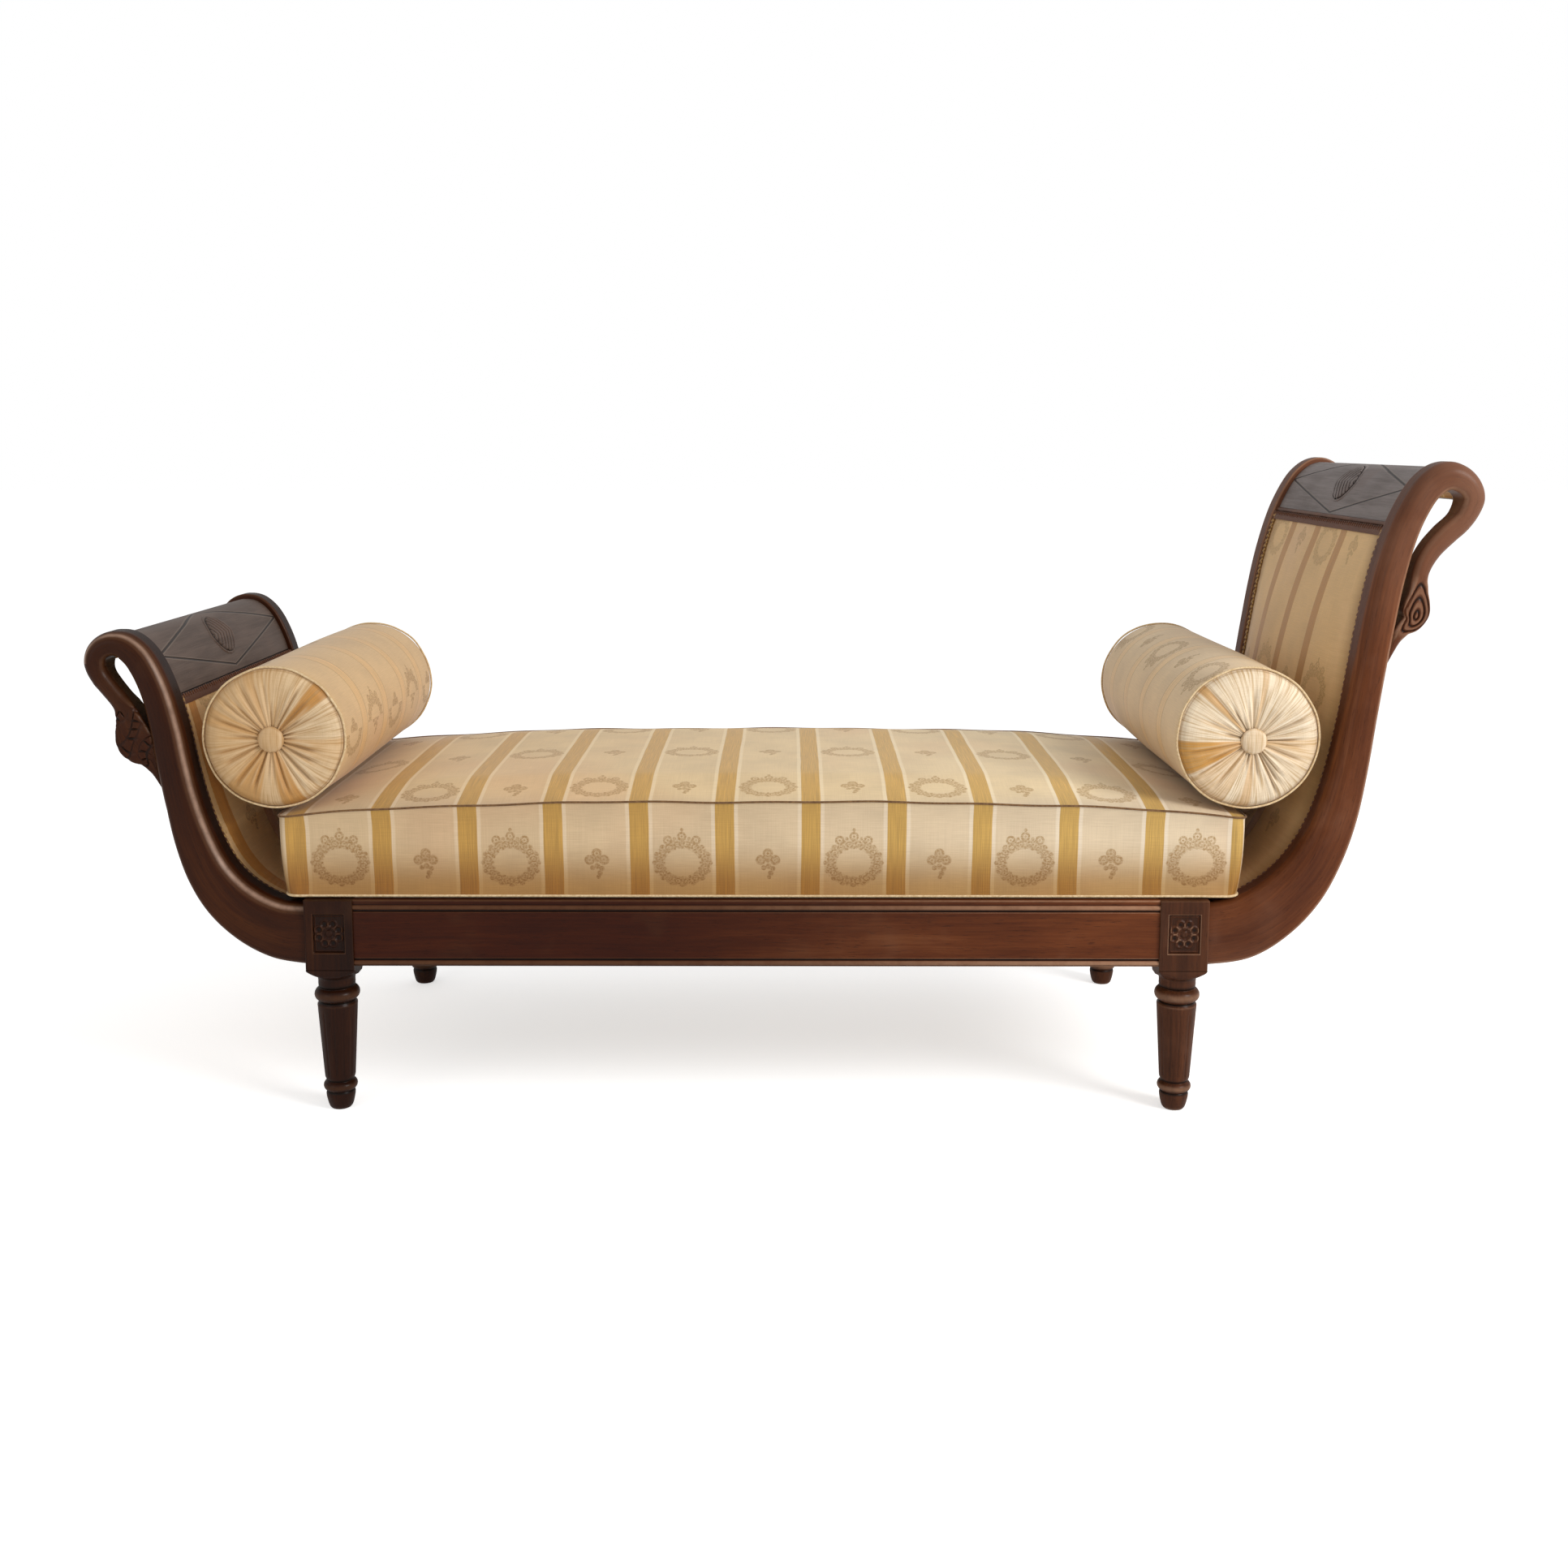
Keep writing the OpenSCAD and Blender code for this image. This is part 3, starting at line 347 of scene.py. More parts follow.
# %% Weathered crest wood
def crest_wood(name, along="line", lozenge=True):
    material, board, shader = surface(name, Specular_IOR_Level=0.25, Coat_Weight=0.08, Coat_Roughness=0.45)
    place = grain_place(board, along)
    wear = board.kept("wear")
    bands = board.noise(place, (4.0, 60.0, 60.0), 5.0, 0.6)
    fibre = board.noise(place, (18.0, 700.0, 700.0), 3.0, 0.65)
    blotch = board.noise(place, 9.0, 3.0, 0.5)
    tone = bands * 0.45 + fibre * 0.3 + blotch * 0.25
    colour = board.blend(board.ramp(tone, 0.36, 0.64), paint(70, 58, 51), paint(101, 89, 82))
    x, _, _ = board.split(board.place())
    # Painted light: the head crest, which faces away from the window lamp, is lightened and greyed, and the
    # foot crest is darkened a little.
    colour = toned(board, colour, board.ramp(x, -0.6, 0.6), (0.92, 0.80, 0.72), (1.75, 1.92, 2.15))
    colour = layered(board, colour, (board.ramp(blotch, 0.55, 0.75) * 0.35, (92, 62, 48)),
                     (board.ramp(wear, 0.2, 1.0) * 0.5, (150, 138, 126)))
    # groove also darkens the CREST_SHADOW strip along the posts, which is a painted shadow.
    groove = board.ramp(wear, -0.1, -0.9)
    if lozenge:
        across, up, _ = board.split(board.kept("place", "Vector"))
        off_line = abs(abs(across) + abs(up) - 1)
        groove = board.largest(groove, board.ramp(off_line, 0.034, 0.008))
        beside = board.ramp(abs(off_line - 0.050), 0.022, 0.006)
        colour = layered(board, colour, (beside * 0.22, (150, 136, 122)))
    colour = layered(board, colour, (groove * 0.85, (24, 17, 13)))
    height = fibre * 0.25 + bands * 0.15 - groove * 1.6
    coat_surface(board, shader, colour, 0.5 + fibre * 0.18, height, 0.0012, 1.0)
    return material


bleached_wood = crest_wood("crest wood")
bleached_carving = crest_wood("crest wood, carved", lozenge=False)
print("two cuts of crest wood")

# %% [markdown]
# Wood that nobody sees is pale beech left from the plane: the braces, bearers, slats and dowels.

# %% Raw beech
def raw_beech(name, along):
    material, board, shader = surface(name, Specular_IOR_Level=0.3)
    place = grain_place(board, along)
    bands = board.noise(place, (3.0, 45.0, 45.0), 4.0, 0.6)
    flecks = board.noise(place, (60.0, 500.0, 500.0), 2.0, 0.6)
    saw = board.noise(place, (380.0, 6.0, 6.0), 1.0, 0.5)
    colour = board.blend(board.ramp(bands, 0.34, 0.66), paint(176, 136, 92), paint(206, 170, 124))
    colour = layered(board, colour, (board.ramp(flecks, 0.58, 0.72) * 0.5, (150, 106, 66)))
    coat_surface(board, shader, colour, 0.66 + flecks * 0.16, bands * 0.4 + saw * 0.6, 0.0004, 0.7)
    return material


beech_x, beech_y = (raw_beech("raw beech, along " + axis, axis) for axis in "XY")
print("raw beech in two directions")

# %% [markdown]
# The brace screws are plain cut steel, dull and a little browned in patches.

# %% Dull screw steel
def dull_steel():
    material, board, shader = surface("dull screw steel", Metallic=1.0)
    place = board.place()
    stain = board.noise(place, 320.0, 4.0, 0.6)
    scratch = board.noise(place, (900.0, 900.0, 4000.0), 1.0, 0.5)
    colour = board.blend(board.ramp(stain, 0.45, 0.7), paint(150, 146, 140), paint(104, 86, 70))
    coat_surface(board, shader, colour, 0.34 + stain * 0.3, scratch, 0.00008, 0.6)
    return material


screw_finish = dull_steel()
print("screw steel ready")

# %% [markdown]
# The silk is a striped lampas. Gold satin stripes 27 mm wide stand 123.5 mm apart, each between two
# pale lines. A column of wreaths and sprigs climbs in the cream ground between them, and the next
# column is shifted by half a repeat. The pattern is drawn on a UV map in metres, across the stripes
# and along them, so every panel shows it at the same scale. Each mark is a small ring or dot:
# distance from a circle, turned into ink. The gathered ends of the bolsters carry two attributes:
# `gild` is 1 where a gold stripe was folded in, and `crease` is 1 in a fold and negative beside it.

# %% Sizes of the silk's pattern
STRIPE_STEP = 0.1235
GOLD_HALF = 0.0137
HALF_REPEAT = 0.215
WREATH_ACROSS = 0.0335
WREATH_UP = 0.0275
WREATH_FLORETS = 16
SPRIG_SCALE = 1.15
print(f"one wreath every {2 * HALF_REPEAT:.2f} m in a column")


# %% The marks of the pattern
def pen(board, x, y):
    """Gives a ring and a dot that can be drawn at any place."""
    def away(at):
        return board.vector("LENGTH", board.combine(x - at[0], y - at[1]), out="Value")

    def ring(at, radius, line):
        return board.ramp(abs(away(at) - radius), line, line * 0.4)

    def dot(at, radius):
        return board.ramp(away(at), radius, radius * 0.6)
    return ring, dot


def wreath(board, x, y, mottle):
    """An oval garland of florets and leaves, with three florets and a tip on its crown."""
    x_share, y_share = x / WREATH_ACROSS, y / WREATH_UP
    mean = (WREATH_ACROSS + WREATH_UP) / 2
    turn = board.math("ARCTAN2", y_share, x_share) * (WREATH_FLORETS / (2 * math.pi))
    floret = 2 * math.pi * mean / WREATH_FLORETS
    outward = (board.vector("LENGTH", board.combine(x_share, y_share), out="Value") - 1) * mean
    ring, dot = pen(board, (board.math("FRACT", turn) - 0.5) * floret, outward)
    _, leaf = pen(board, (board.math("FRACT", turn + 0.5) - 0.5) * floret, outward)
    marks = [ring((0, 0), 0.0040, 0.0022), dot((0, 0), 0.0018), leaf((0, 0.0062), 0.0038),
             leaf((0, -0.0054), 0.0034)]
    ring, dot = pen(board, x, y)
    for at in ((-0.0205, 0.0330), (0.0, 0.0385), (0.0205, 0.0330)):
        marks += [ring(at, 0.0050, 0.0024), dot(at, 0.0022)]
    marks += [dot(at, 0.0032) for at in ((-0.0105, 0.0350), (0.0105, 0.0350), (0, 0.0480))]
    band = board.ramp(abs(outward), 0.0092, 0.0060) * 0.6
    return board.largest(board.largest(*marks) * (0.45 + mottle * 0.55), band * mottle)


def sprig(board, x, y, mottle):
    """Three full florets on a stem with two leaves."""
    ring, dot = pen(board, x / SPRIG_SCALE, y / SPRIG_SCALE)
    marks = []
    for at in ((0, 0.0120), (-0.0090, 0.0035), (0.0090, 0.0035)):
        marks += [ring(at, 0.0046, 0.0026), dot(at, 0.0022), dot(at, 0.0074) * 0.55]
    leaves = (((0, 0.0040), 0.0048), ((0.0005, -0.0045), 0.0046), ((-0.0055, -0.0065), 0.0040),
              ((0.0060, -0.0075), 0.0042), ((0.0035, -0.0135), 0.0044), ((0.0015, -0.0185), 0.0034))
    marks += [dot(at, size) for at, size in leaves]
    return board.largest(*marks) * (0.5 + mottle * 0.5)


print("florets round a wreath:", WREATH_FLORETS)


# %% Striped silk
def striped_silk(name, ground=(218, 194, 158), gold=(178, 140, 72), edge=(238, 220, 192),
                 edge_width=0.0055, edge_share=0.5, ink=0.8, last_stripe=None, soiled_and_shaded_edge=None,
                 turned_under=None, pleated=False):
    material, board, shader = surface(name, Sheen_Weight=0.12, Sheen_Roughness=0.4, Specular_IOR_Level=0.35)
    cloth = board.node("ShaderNodeUVMap", {"uv_map": "cloth"})
    across, along, _ = board.split(cloth)
    x_place, _, z = board.split(board.place())
    place = board.combine(across, along)
    wander = (board.noise(place, 6.0, 2.0) - 0.5) * 0.004
    stripes = (across + wander) / STRIPE_STEP
    column = board.math("FLOOR", stripes)
    off_stripe = abs(stripes - board.math("ROUND", stripes)) * STRIPE_STEP
    gold_share = board.ramp(off_stripe, GOLD_HALF + 0.0006, GOLD_HALF - 0.0006)
    edge_at = GOLD_HALF + edge_width
    pale = board.ramp(off_stripe, edge_at + 0.001, edge_at - 0.001) - gold_share
    if last_stripe is not None:
        kept = board.ramp(across, last_stripe - 0.002, last_stripe + 0.002)
        gold_share, pale = gold_share * kept, pale * kept
    if pleated:
        gold_share = board.kept("gild")
        pale = pale * 0.0

    x = (board.math("FRACT", stripes) - 0.5) * STRIPE_STEP
    repeats = along / (2 * HALF_REPEAT) - board.math("FLOORED_MODULO", column, 2.0) * 0.5
    wreath_y = (board.math("FRACT", repeats + 0.5) - 0.5) * (2 * HALF_REPEAT)
    sprig_y = (board.math("FRACT", repeats) - 0.5) * (2 * HALF_REPEAT)
    mottle = board.ramp(board.noise(place, 330.0, 2.0, 0.6), 0.42, 0.58)
    flowers = board.largest(wreath(board, x, wreath_y, mottle), sprig(board, x, sprig_y, mottle))

    slub = board.noise(place, (25.0, 900.0, 1.0), 2.0, 0.6)
    warp_threads = board.noise(place, (1100.0, 14.0, 1.0), 2.0, 0.6)
    tint = board.noise(place, 11.0, 3.0, 0.5)
    stain = board.noise(place, 2.2, 3.0, 0.5)
    shaded = [round(0.95 * c) for c in ground]
    lit_gold = [min(255, round(1.14 * c)) for c in gold]
    colour = board.blend(board.ramp(tint, 0.35, 0.7), paint(*ground), paint(*shaded))
    colour = layered(board, colour, (board.ramp(stain, 0.48, 0.70) * 0.5, (216, 176, 140)),
                     (pale * edge_share, edge),
                     (flowers * board.ramp(slub, 0.30, 0.60, 0.7, 1.0) * ink, (150, 112, 54)))
    gold_tone = board.blend(board.ramp(warp_threads, 0.3, 0.7), paint(*gold), paint(*lit_gold))
    colour = board.blend(gold_share, colour, gold_tone)
    threads = slub * 0.6 + warp_threads * 0.4
    colour = layered(board, colour, (board.ramp(threads, 0.34, 0.66, 0.16, 0.0), (120, 90, 56)))
    if pleated:
        # Painted shade in the creases and a painted highlight on the ridges beside them; the foot bolster's
        # ends turn a darker tan towards the left, as painted shade away from the window lamp.
        fold = board.kept("crease")
        radial = board.noise(place, (260.0, 10.0, 1.0), 3.0, 0.65)
        colour = layered(board, colour, (board.ramp(radial, 0.43, 0.64) * 0.75, (176, 138, 86)),
                         (board.ramp(stain, 0.44, 0.62) * 0.4, (206, 160, 96)),
                         (board.ramp(fold, -0.1, -0.9) * 0.5, (248, 234, 208)),
                         (board.ramp(fold, 0.15, 1.0) * 0.62, (124, 88, 46)),
                         (board.ramp(x_place, -0.62, -0.80) * 0.6, (196, 156, 102)))
    if soiled_and_shaded_edge:
        # The edges along the posts are darker, partly soil and partly painted shade.
        middle, clean, soiled = soiled_and_shaded_edge
        soil = board.ramp(abs(across + middle), clean, soiled)
        colour = layered(board, colour, (soil * 0.7, (128, 88, 42)))
    if turned_under:
        low, high = turned_under
        # The lower boxing is darker where it turns under, partly soil and partly painted shade, and the top
        # is lightened as painted light from above.
        under = board.blend(1.0, colour, (0.56, 0.40, 0.20, 1.0), "MULTIPLY")
        colour = board.blend(board.ramp(z, high, low), colour, under)
        colour = toned(board, colour, board.ramp(z, 0.455, 0.472), (1.0, 1.0, 1.0), (1.19, 1.17, 1.04))
    # Painted light from the window lamp at the right: the silk is lighter and cooler towards the head end
    # and darker and warmer towards the foot end.
    colour = toned(board, colour, board.ramp(x_place, -0.6, 0.65), (0.94, 0.88, 0.80), (1.05, 1.09, 1.17))
    relief = threads + flowers * 0.45 + gold_share * 0.35
    coat_surface(board, shader, colour, 0.52 - gold_share * 0.10 + threads * 0.1, relief, 0.00035, 0.8)
    return material


cushion_silk = striped_silk("striped silk", turned_under=(0.332, 0.412))
# The head pad's silk is a darker, warmer copy, as painted shade, and the foot pad's a lighter copy, as
# painted light.
shaded_head_pad_silk = striped_silk("striped silk of the head pad", (224, 182, 122), (168, 118, 56), edge_share=0.0,
                        ink=0.6, last_stripe=-0.19, soiled_and_shaded_edge=(0.0185, 0.218, 0.262))
lit_foot_pad_silk = striped_silk("striped silk of the foot pad", (248, 212, 156), (200, 144, 76),
                             edge_share=0.0, ink=0.6)
back_silk = striped_silk("striped silk of the backs", (214, 180, 130), (172, 130, 70),
                         edge_share=0.3, ink=0.7)
tube_silk = striped_silk("striped silk of the bolsters", (224, 192, 146), (208, 172, 120), (138, 102, 60),
                         edge_width=0.0014, edge_share=0.75)
pleat_silk = striped_silk("striped silk, pleated", (234, 212, 178), (178, 126, 56), ink=0.4, pleated=True)
print("nodes in the silk:", len(cushion_silk.node_tree.nodes))

# %% [markdown]
# Welts are a cord wrapped in a bias strip. The upper one is coloured dark brown as a painted shadow along
# the top seam, and the lower one has kept the colour of the silk. The braid round the end pads is a darker,
# coarser gold.

# %% Welt and braid
def corded_trim(name, dark, light, twist=0.0):
    material, board, shader = surface(name, Sheen_Weight=0.1, Specular_IOR_Level=0.25)
    place = board.place()
    x, y, z = board.split(place)
    fluff = board.noise(place, 260.0, 3.0, 0.6)
    tone = fluff
    if twist:
        tone = (board.math("SINE", (x + y + z) * twist) * 0.5 + 0.5) * 0.6 + fluff * 0.4
    colour = board.blend(board.ramp(tone, 0.25, 0.75), paint(*dark), paint(*light))
    soil = board.noise(place, 14.0, 2.0)
    colour = layered(board, colour, (board.ramp(soil, 0.52, 0.72) * 0.3, dark))
    coat_surface(board, shader, colour, 0.6 + fluff * 0.15, tone, 0.0003, 0.8)
    return material


# The upper welt is coloured dark brown as a painted shadow along the top seam.
seam_shadow_cloth = corded_trim("handled welt", (92, 62, 36), (128, 94, 58))
welt_cloth = corded_trim("silk welt", (196, 164, 118), (228, 204, 164))
braid_cloth = corded_trim("gold braid", (128, 92, 46), (184, 144, 84), 900.0)
knot_cloth = corded_trim("braid knots", (66, 34, 18), (112, 66, 36), 2600.0)
print("trim ready")

# %% [markdown]
# Jute webbing is a coarse tabby with a dark line near each edge, and the deck is a plain linen cover.
# A weave is two combs of threads that pass over one another: the product of two sines says which
# comb is on top.

# %% Webbing and deck linen
def tabby(name, pitch, dark, light, depth, lines_along=None, step=None):
    material, board, shader = surface(name, Sheen_Weight=0.1, Specular_IOR_Level=0.2)
    place = board.place()
    x, y, _ = board.split(place)
    over = board.math("SINE", x * (2 * math.pi / pitch)) * board.math("SINE", y * (2 * math.pi / pitch))
    thread = board.noise(place, 700.0, 3.0, 0.6)
    cloud = board.noise(place, 16.0, 3.0, 0.5)
    tone = over * 0.25 + thread * 0.5 + cloud * 0.5
    colour = board.blend(board.ramp(tone, 0.3, 0.75), paint(*dark), paint(*light))
    if lines_along:
        side = y if lines_along == "X" else x
        off = abs(board.math("FRACT", side / step) - 0.5)
        line = board.ramp(abs(off - 0.32), 0.03, 0.02)
        colour = layered(board, colour, (line * 0.5, (96, 62, 38)))
    coat_surface(board, shader, colour, 0.82 + thread * 0.1, over * 0.5 + thread * 0.5, depth, 0.8)
    return material


jute_cross = tabby("jute webbing, across", 0.0032, (132, 104, 66), (186, 158, 112), 0.0006, "Y", 0.05)
jute_long = tabby("jute webbing, along", 0.0032, (132, 104, 66), (186, 158, 112), 0.0006, "X", 0.05)
deck_cloth = tabby("deck linen", 0.0014, (186, 170, 140), (222, 210, 184), 0.00025)
print("plain weaves ready")

# %% [markdown]
# Most pieces here are lattices: rows of points laid one after another along a piece. A few helpers
# join the rows with faces, close the ends, and store the attributes that the finishes read.

# %% Lattices of points
def lattice_faces(rows, columns, wrap_columns=True, wrap_rows=False):
    faces = []
    for i in range(rows if wrap_rows else rows - 1):
        for j in range(columns if wrap_columns else columns - 1):
            k, n = (j + 1) % columns, (i + 1) % rows
            faces.append((i * columns + j, i * columns + k, n * columns + k, n * columns + j))
    return faces


def capped_faces(rows, columns):
    """Rows that close round, with a face over each end."""
    last = (rows - 1) * columns
    return lattice_faces(rows, columns) + [tuple(range(columns)), tuple(range(last, last + columns))]


def grid_edge(rows, columns):
    """Row and column of each point round the edge of a grid."""
    edge = [(0, j) for j in range(columns)] + [(i, columns - 1) for i in range(1, rows)]
    return (edge + [(rows - 1, j) for j in range(columns - 2, -1, -1)]
            + [(i, 0) for i in range(rows - 2, 0, -1)])


def bridge(first, second):
    """Faces between two closed rings of point numbers."""
    count = len(first)
    return [(first[k], second[k], second[(k + 1) % count], first[(k + 1) % count]) for k in range(count)]


def slab_faces(rows, columns):
    """A closed slab: its rows climb the face and come down again behind it."""
    count = 2 * rows
    faces = lattice_faces(count, columns, False, True)
    for column in (0, columns - 1):
        faces += [(i * columns + column, (i + 1) * columns + column,
                   (count - 2 - i) * columns + column, (count - 1 - i) * columns + column)
                  for i in range(rows - 1)]
    return faces


def slab_places(rows, ys):
    """Each place of a slab in its order: is it on the face, how far up, its row, and where across."""
    climb = [(k / (len(rows) - 1), i) for k, i in enumerate(rows)]
    return [(shown, up, i, y) for shown in (True, False) for up, i in (climb if shown else climb[::-1])
            for y in ys]


print("faces of a slab of 2 by 3 points:", len(slab_faces(2, 3)))


# %% Meshes and what they carry
def add_mesh(name, points, faces, material, smooth_angle=40.0):
    mesh = bpy.data.meshes.new(name)
    mesh.from_pydata(np.asarray(points, float).reshape(-1, 3).tolist(), [], faces)
    mesh.validate()
    mesh.materials.append(material)
    mesh.shade_smooth()
    mesh.set_sharp_from_angle(angle=math.radians(smooth_angle))
    return put(name, mesh)


def spots_of(piece):
    spots = np.empty(len(piece.data.vertices) * 3, np.float32)
    piece.data.vertices.foreach_get("co", spots)
    return spots.reshape(-1, 3).astype(float)


def set_spots(piece, spots):
    piece.data.vertices.foreach_set("co", np.asarray(spots, np.float32).ravel())
    piece.data.update()


def keep(mesh, **named):
    """Stores numbers or vectors for each point, under their names."""
    for name, values in named.items():
        values = np.asarray(values, np.float32)
        kind, key = ("FLOAT", "value") if values.ndim == 1 else ("FLOAT_VECTOR", "vector")
        mesh.attributes.new(name, kind, "POINT").data.foreach_set(key, values.ravel())


def keep_cloth(piece, places):
    """Stores the place on the cloth, in metres, as a UV map."""
    layer = piece.data.uv_layers.new(name="cloth")
    corners = np.empty(len(piece.data.loops), np.int32)
    piece.data.loops.foreach_get("vertex_index", corners)
    layer.data.foreach_set("uv", np.asarray(places, np.float32)[corners].ravel())


def finished_mesh(piece):
    """The mesh that a piece's modifiers leave, as plain data."""
    return bpy.data.meshes.new_from_object(piece.evaluated_get(bpy.context.evaluated_depsgraph_get()))


print("a mesh can carry numbers, vectors and its place on the cloth")


# %% Turn, join and place the pieces
def turn_outward(piece):
    """Recalculates the normals of a closed piece, after a mirror may have turned it inside out."""
    bpy.context.view_layer.objects.active = piece
    with bpy.context.temp_override(active_object=piece, object=piece, selected_objects=[piece]):
        bpy.ops.object.mode_set(mode="EDIT")
        bpy.ops.mesh.select_all(action="SELECT")
        bpy.ops.mesh.normals_make_consistent(inside=False)
        bpy.ops.object.mode_set(mode="OBJECT")
    return piece


def closed_piece(name, points, faces, material, smooth_angle=40.0, cloth=None, **named):
    """A closed mesh that faces outwards, with its named attributes and its place on the cloth."""
    piece = add_mesh(name, points, faces, material, smooth_angle)
    keep(piece.data, **named)
    if cloth:
        keep_cloth(piece, cloth)
    return turn_outward(piece)


def join(name, parts):
    """Makes one piece of several meshes."""
    first = parts[0]
    if len(parts) > 1:
        with bpy.context.temp_override(active_object=first, object=first, selected_editable_objects=parts,
                                       selected_objects=parts):
            bpy.ops.object.join()
    first.name = first.data.name = name
    return first


def arc(across, up, radius, start, end, count):
    """Points of a round moulding, with angles in degrees."""
    turn = np.radians(np.linspace(start, end, count))
    return [(across + radius * math.cos(t), up + radius * math.sin(t)) for t in turn]


finished = []


def place_piece(piece, body, slot, *nodes):
    """Lets a finished piece ride on its body and stand for its CAD nodes."""
    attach(piece, body)
    if nodes:
        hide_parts(*nodes)
    finished.append(piece.name)
    return piece


print("helpers ready")

# %% [markdown]
# The scroll is one line in the side view: it leaves the leg block level, climbs, rolls outwards
# and comes back down as the swan neck. The construction draws it through a few points, given as
# shares of the reach and the rise, with the width of the wood as the last column. The width is a
# share of the rail's height where the post is heavy, and of the reach after that. The same points
# are repeated here, and a finer curve is laid through them.

# %% The scroll lines
foot_stile_shares = [
    (0.221, 0.104, 0.857), (0.335, 0.140, 0.796), (0.441, 0.200, 0.724), (0.520, 0.278, 0.643),
    (0.576, 0.375, 0.571), (0.616, 0.482, 0.500), (0.644, 0.594, 0.439), (0.668, 0.709, 0.1178),
    (0.707, 0.823, 0.1101), (0.761, 0.909, 0.1072), (0.822, 0.953, 0.1087), (0.879, 0.964, 0.1042),
    (0.924, 0.955, 0.0936), (0.953, 0.934, 0.0847), (0.961, 0.907, 0.0785)]
foot_neck_shares = [
    (0.949, 0.876, 0.0696), (0.914, 0.841, 0.0634), (0.873, 0.804, 0.0634), (0.843, 0.775, 0.0725),
    (0.825, 0.742, 0.0968), (0.814, 0.709, 0.1300), (0.801, 0.676, 0.1480), (0.776, 0.647, 0.1208),
    (0.749, 0.619, 0.0725), (0.728, 0.581, 0.0394), (0.707, 0.536, 0.0121)]
head_stile_shares = [
    (0.214, 0.075, 0.918), (0.327, 0.111, 0.847), (0.423, 0.165, 0.755), (0.496, 0.233, 0.643),
    (0.547, 0.309, 0.561), (0.584, 0.401, 0.490), (0.612, 0.501, 0.444), (0.635, 0.598, 0.423),
    (0.660, 0.695, 0.1007), (0.690, 0.785, 0.0958), (0.733, 0.871, 0.0906), (0.786, 0.933, 0.0906),
    (0.834, 0.964, 0.0945), (0.882, 0.974, 0.0958), (0.924, 0.967, 0.0869), (0.956, 0.950, 0.0755),
    (0.966, 0.927, 0.0681)]
head_neck_shares = [
    (0.940, 0.893, 0.0592), (0.887, 0.863, 0.0568), (0.841, 0.834, 0.0541), (0.811, 0.804, 0.0504),
    (0.798, 0.775, 0.0479), (0.796, 0.752, 0.0580), (0.793, 0.730, 0.0780), (0.787, 0.710, 0.0869),
    (0.773, 0.693, 0.0681), (0.743, 0.678, 0.0454), (0.720, 0.657, 0.0378), (0.704, 0.634, 0.0276),
    (0.690, 0.609, 0.0126)]
ROOT_SHARE, ROOT_WIDTH_SHARE, ROOT_EASE_SHARE = 0.46, 0.90, 0.30
COARSE_STEPS, FINE_STEPS = 4, 24
print("points down the head scroll:", len(head_stile_shares + head_neck_shares))


# %% A smooth line through points
def unit_rows(vectors):
    return vectors / np.linalg.norm(vectors, axis=1)[:, None]


def curve_through(points, steps):
    """A few steps from each point to the next. The first and the last point only steer the curve."""
    curve = []
    for a, b, c, d in zip(points, points[1:], points[2:], points[3:]):
        for t in np.arange(steps) / steps:
            curve.append(0.5 * (2 * b + (c - a) * t + (2 * a - 5 * b + 4 * c - d) * t ** 2
                                + (3 * b - a - 3 * c + d) * t ** 3))
    return curve


def smooth(points, steps):
    """A smooth open line through points."""
    p = np.asarray(points, float)
    return np.array(curve_through(np.vstack([p[:1], p, p[-1:]]), steps) + [p[-1]])


def smooth_ring(line, steps=3):
    """A smooth closed line through points."""
    return np.array(curve_through(np.vstack([line[-1:], line, line[:2]]), steps))


print("points from one given point to the next:", FINE_STEPS)


# %% A scroll and its width
class Scroll:
    """One end's scroll line: out from the leg centre, up, and the width of the wood there."""

    def __init__(self, origin, side, stile, neck, heavy, reach, height, crest_share, fuller):
        self.origin, self.side = origin, side
        rise = height - rail_bottom
        root = (block / 2, rail_bottom + ROOT_SHARE * rail_height, ROOT_WIDTH_SHARE * rail_height)
        rows = [(out * reach, rail_bottom + up * rise, width * (rail_height if k < heavy else reach))
                for k, (out, up, width) in enumerate(stile + neck)]
        coarse = smooth([root] + rows, COARSE_STEPS)
        self.line = smooth([root] + rows, FINE_STEPS)
        self.joint = FINE_STEPS * len(stile)
        level = rail_bottom + crest_share * rise
        self.crest_low = int(np.argmax(coarse[:, 1] >= level)) * FINE_STEPS // COARSE_STEPS
        heading = unit_rows(np.gradient(self.line[:, :2], axis=0))
        ease = np.clip((self.line[:, 0] - block / 2) / (ROOT_EASE_SHARE * rail_height), 0, 1)[:, None]
        along = (1 - ease) * np.array([1.0, 0.0]) + ease * heading
        self.normal = unit_rows(np.stack([-along[:, 1], along[:, 0]], 1))
        station = np.arange(len(self.line)) / FINE_STEPS
        above, below = (np.interp(station, rows, sizes) for rows, sizes in fuller)
        self.line[:, :2] += self.normal * ((above - below) / 2)[:, None]
        self.line[:, 2] += above + below
        gaps = np.linalg.norm(np.diff(self.line[:, :2], axis=0), axis=1)
        self.run = np.concatenate([[0], np.cumsum(gaps)])

    def at(self, i, off, y):
        """A point off the middle of the wood, towards the seat, at depth y."""
        u, z = self.line[i, :2] + self.normal[i] * off
        return (self.origin + self.side * u, y, z)

    def inside(self, i, sunk, y):
        """A point sunk below the face that looks at the seat."""
        return self.at(i, self.line[i, 2] / 2 - sunk, y)


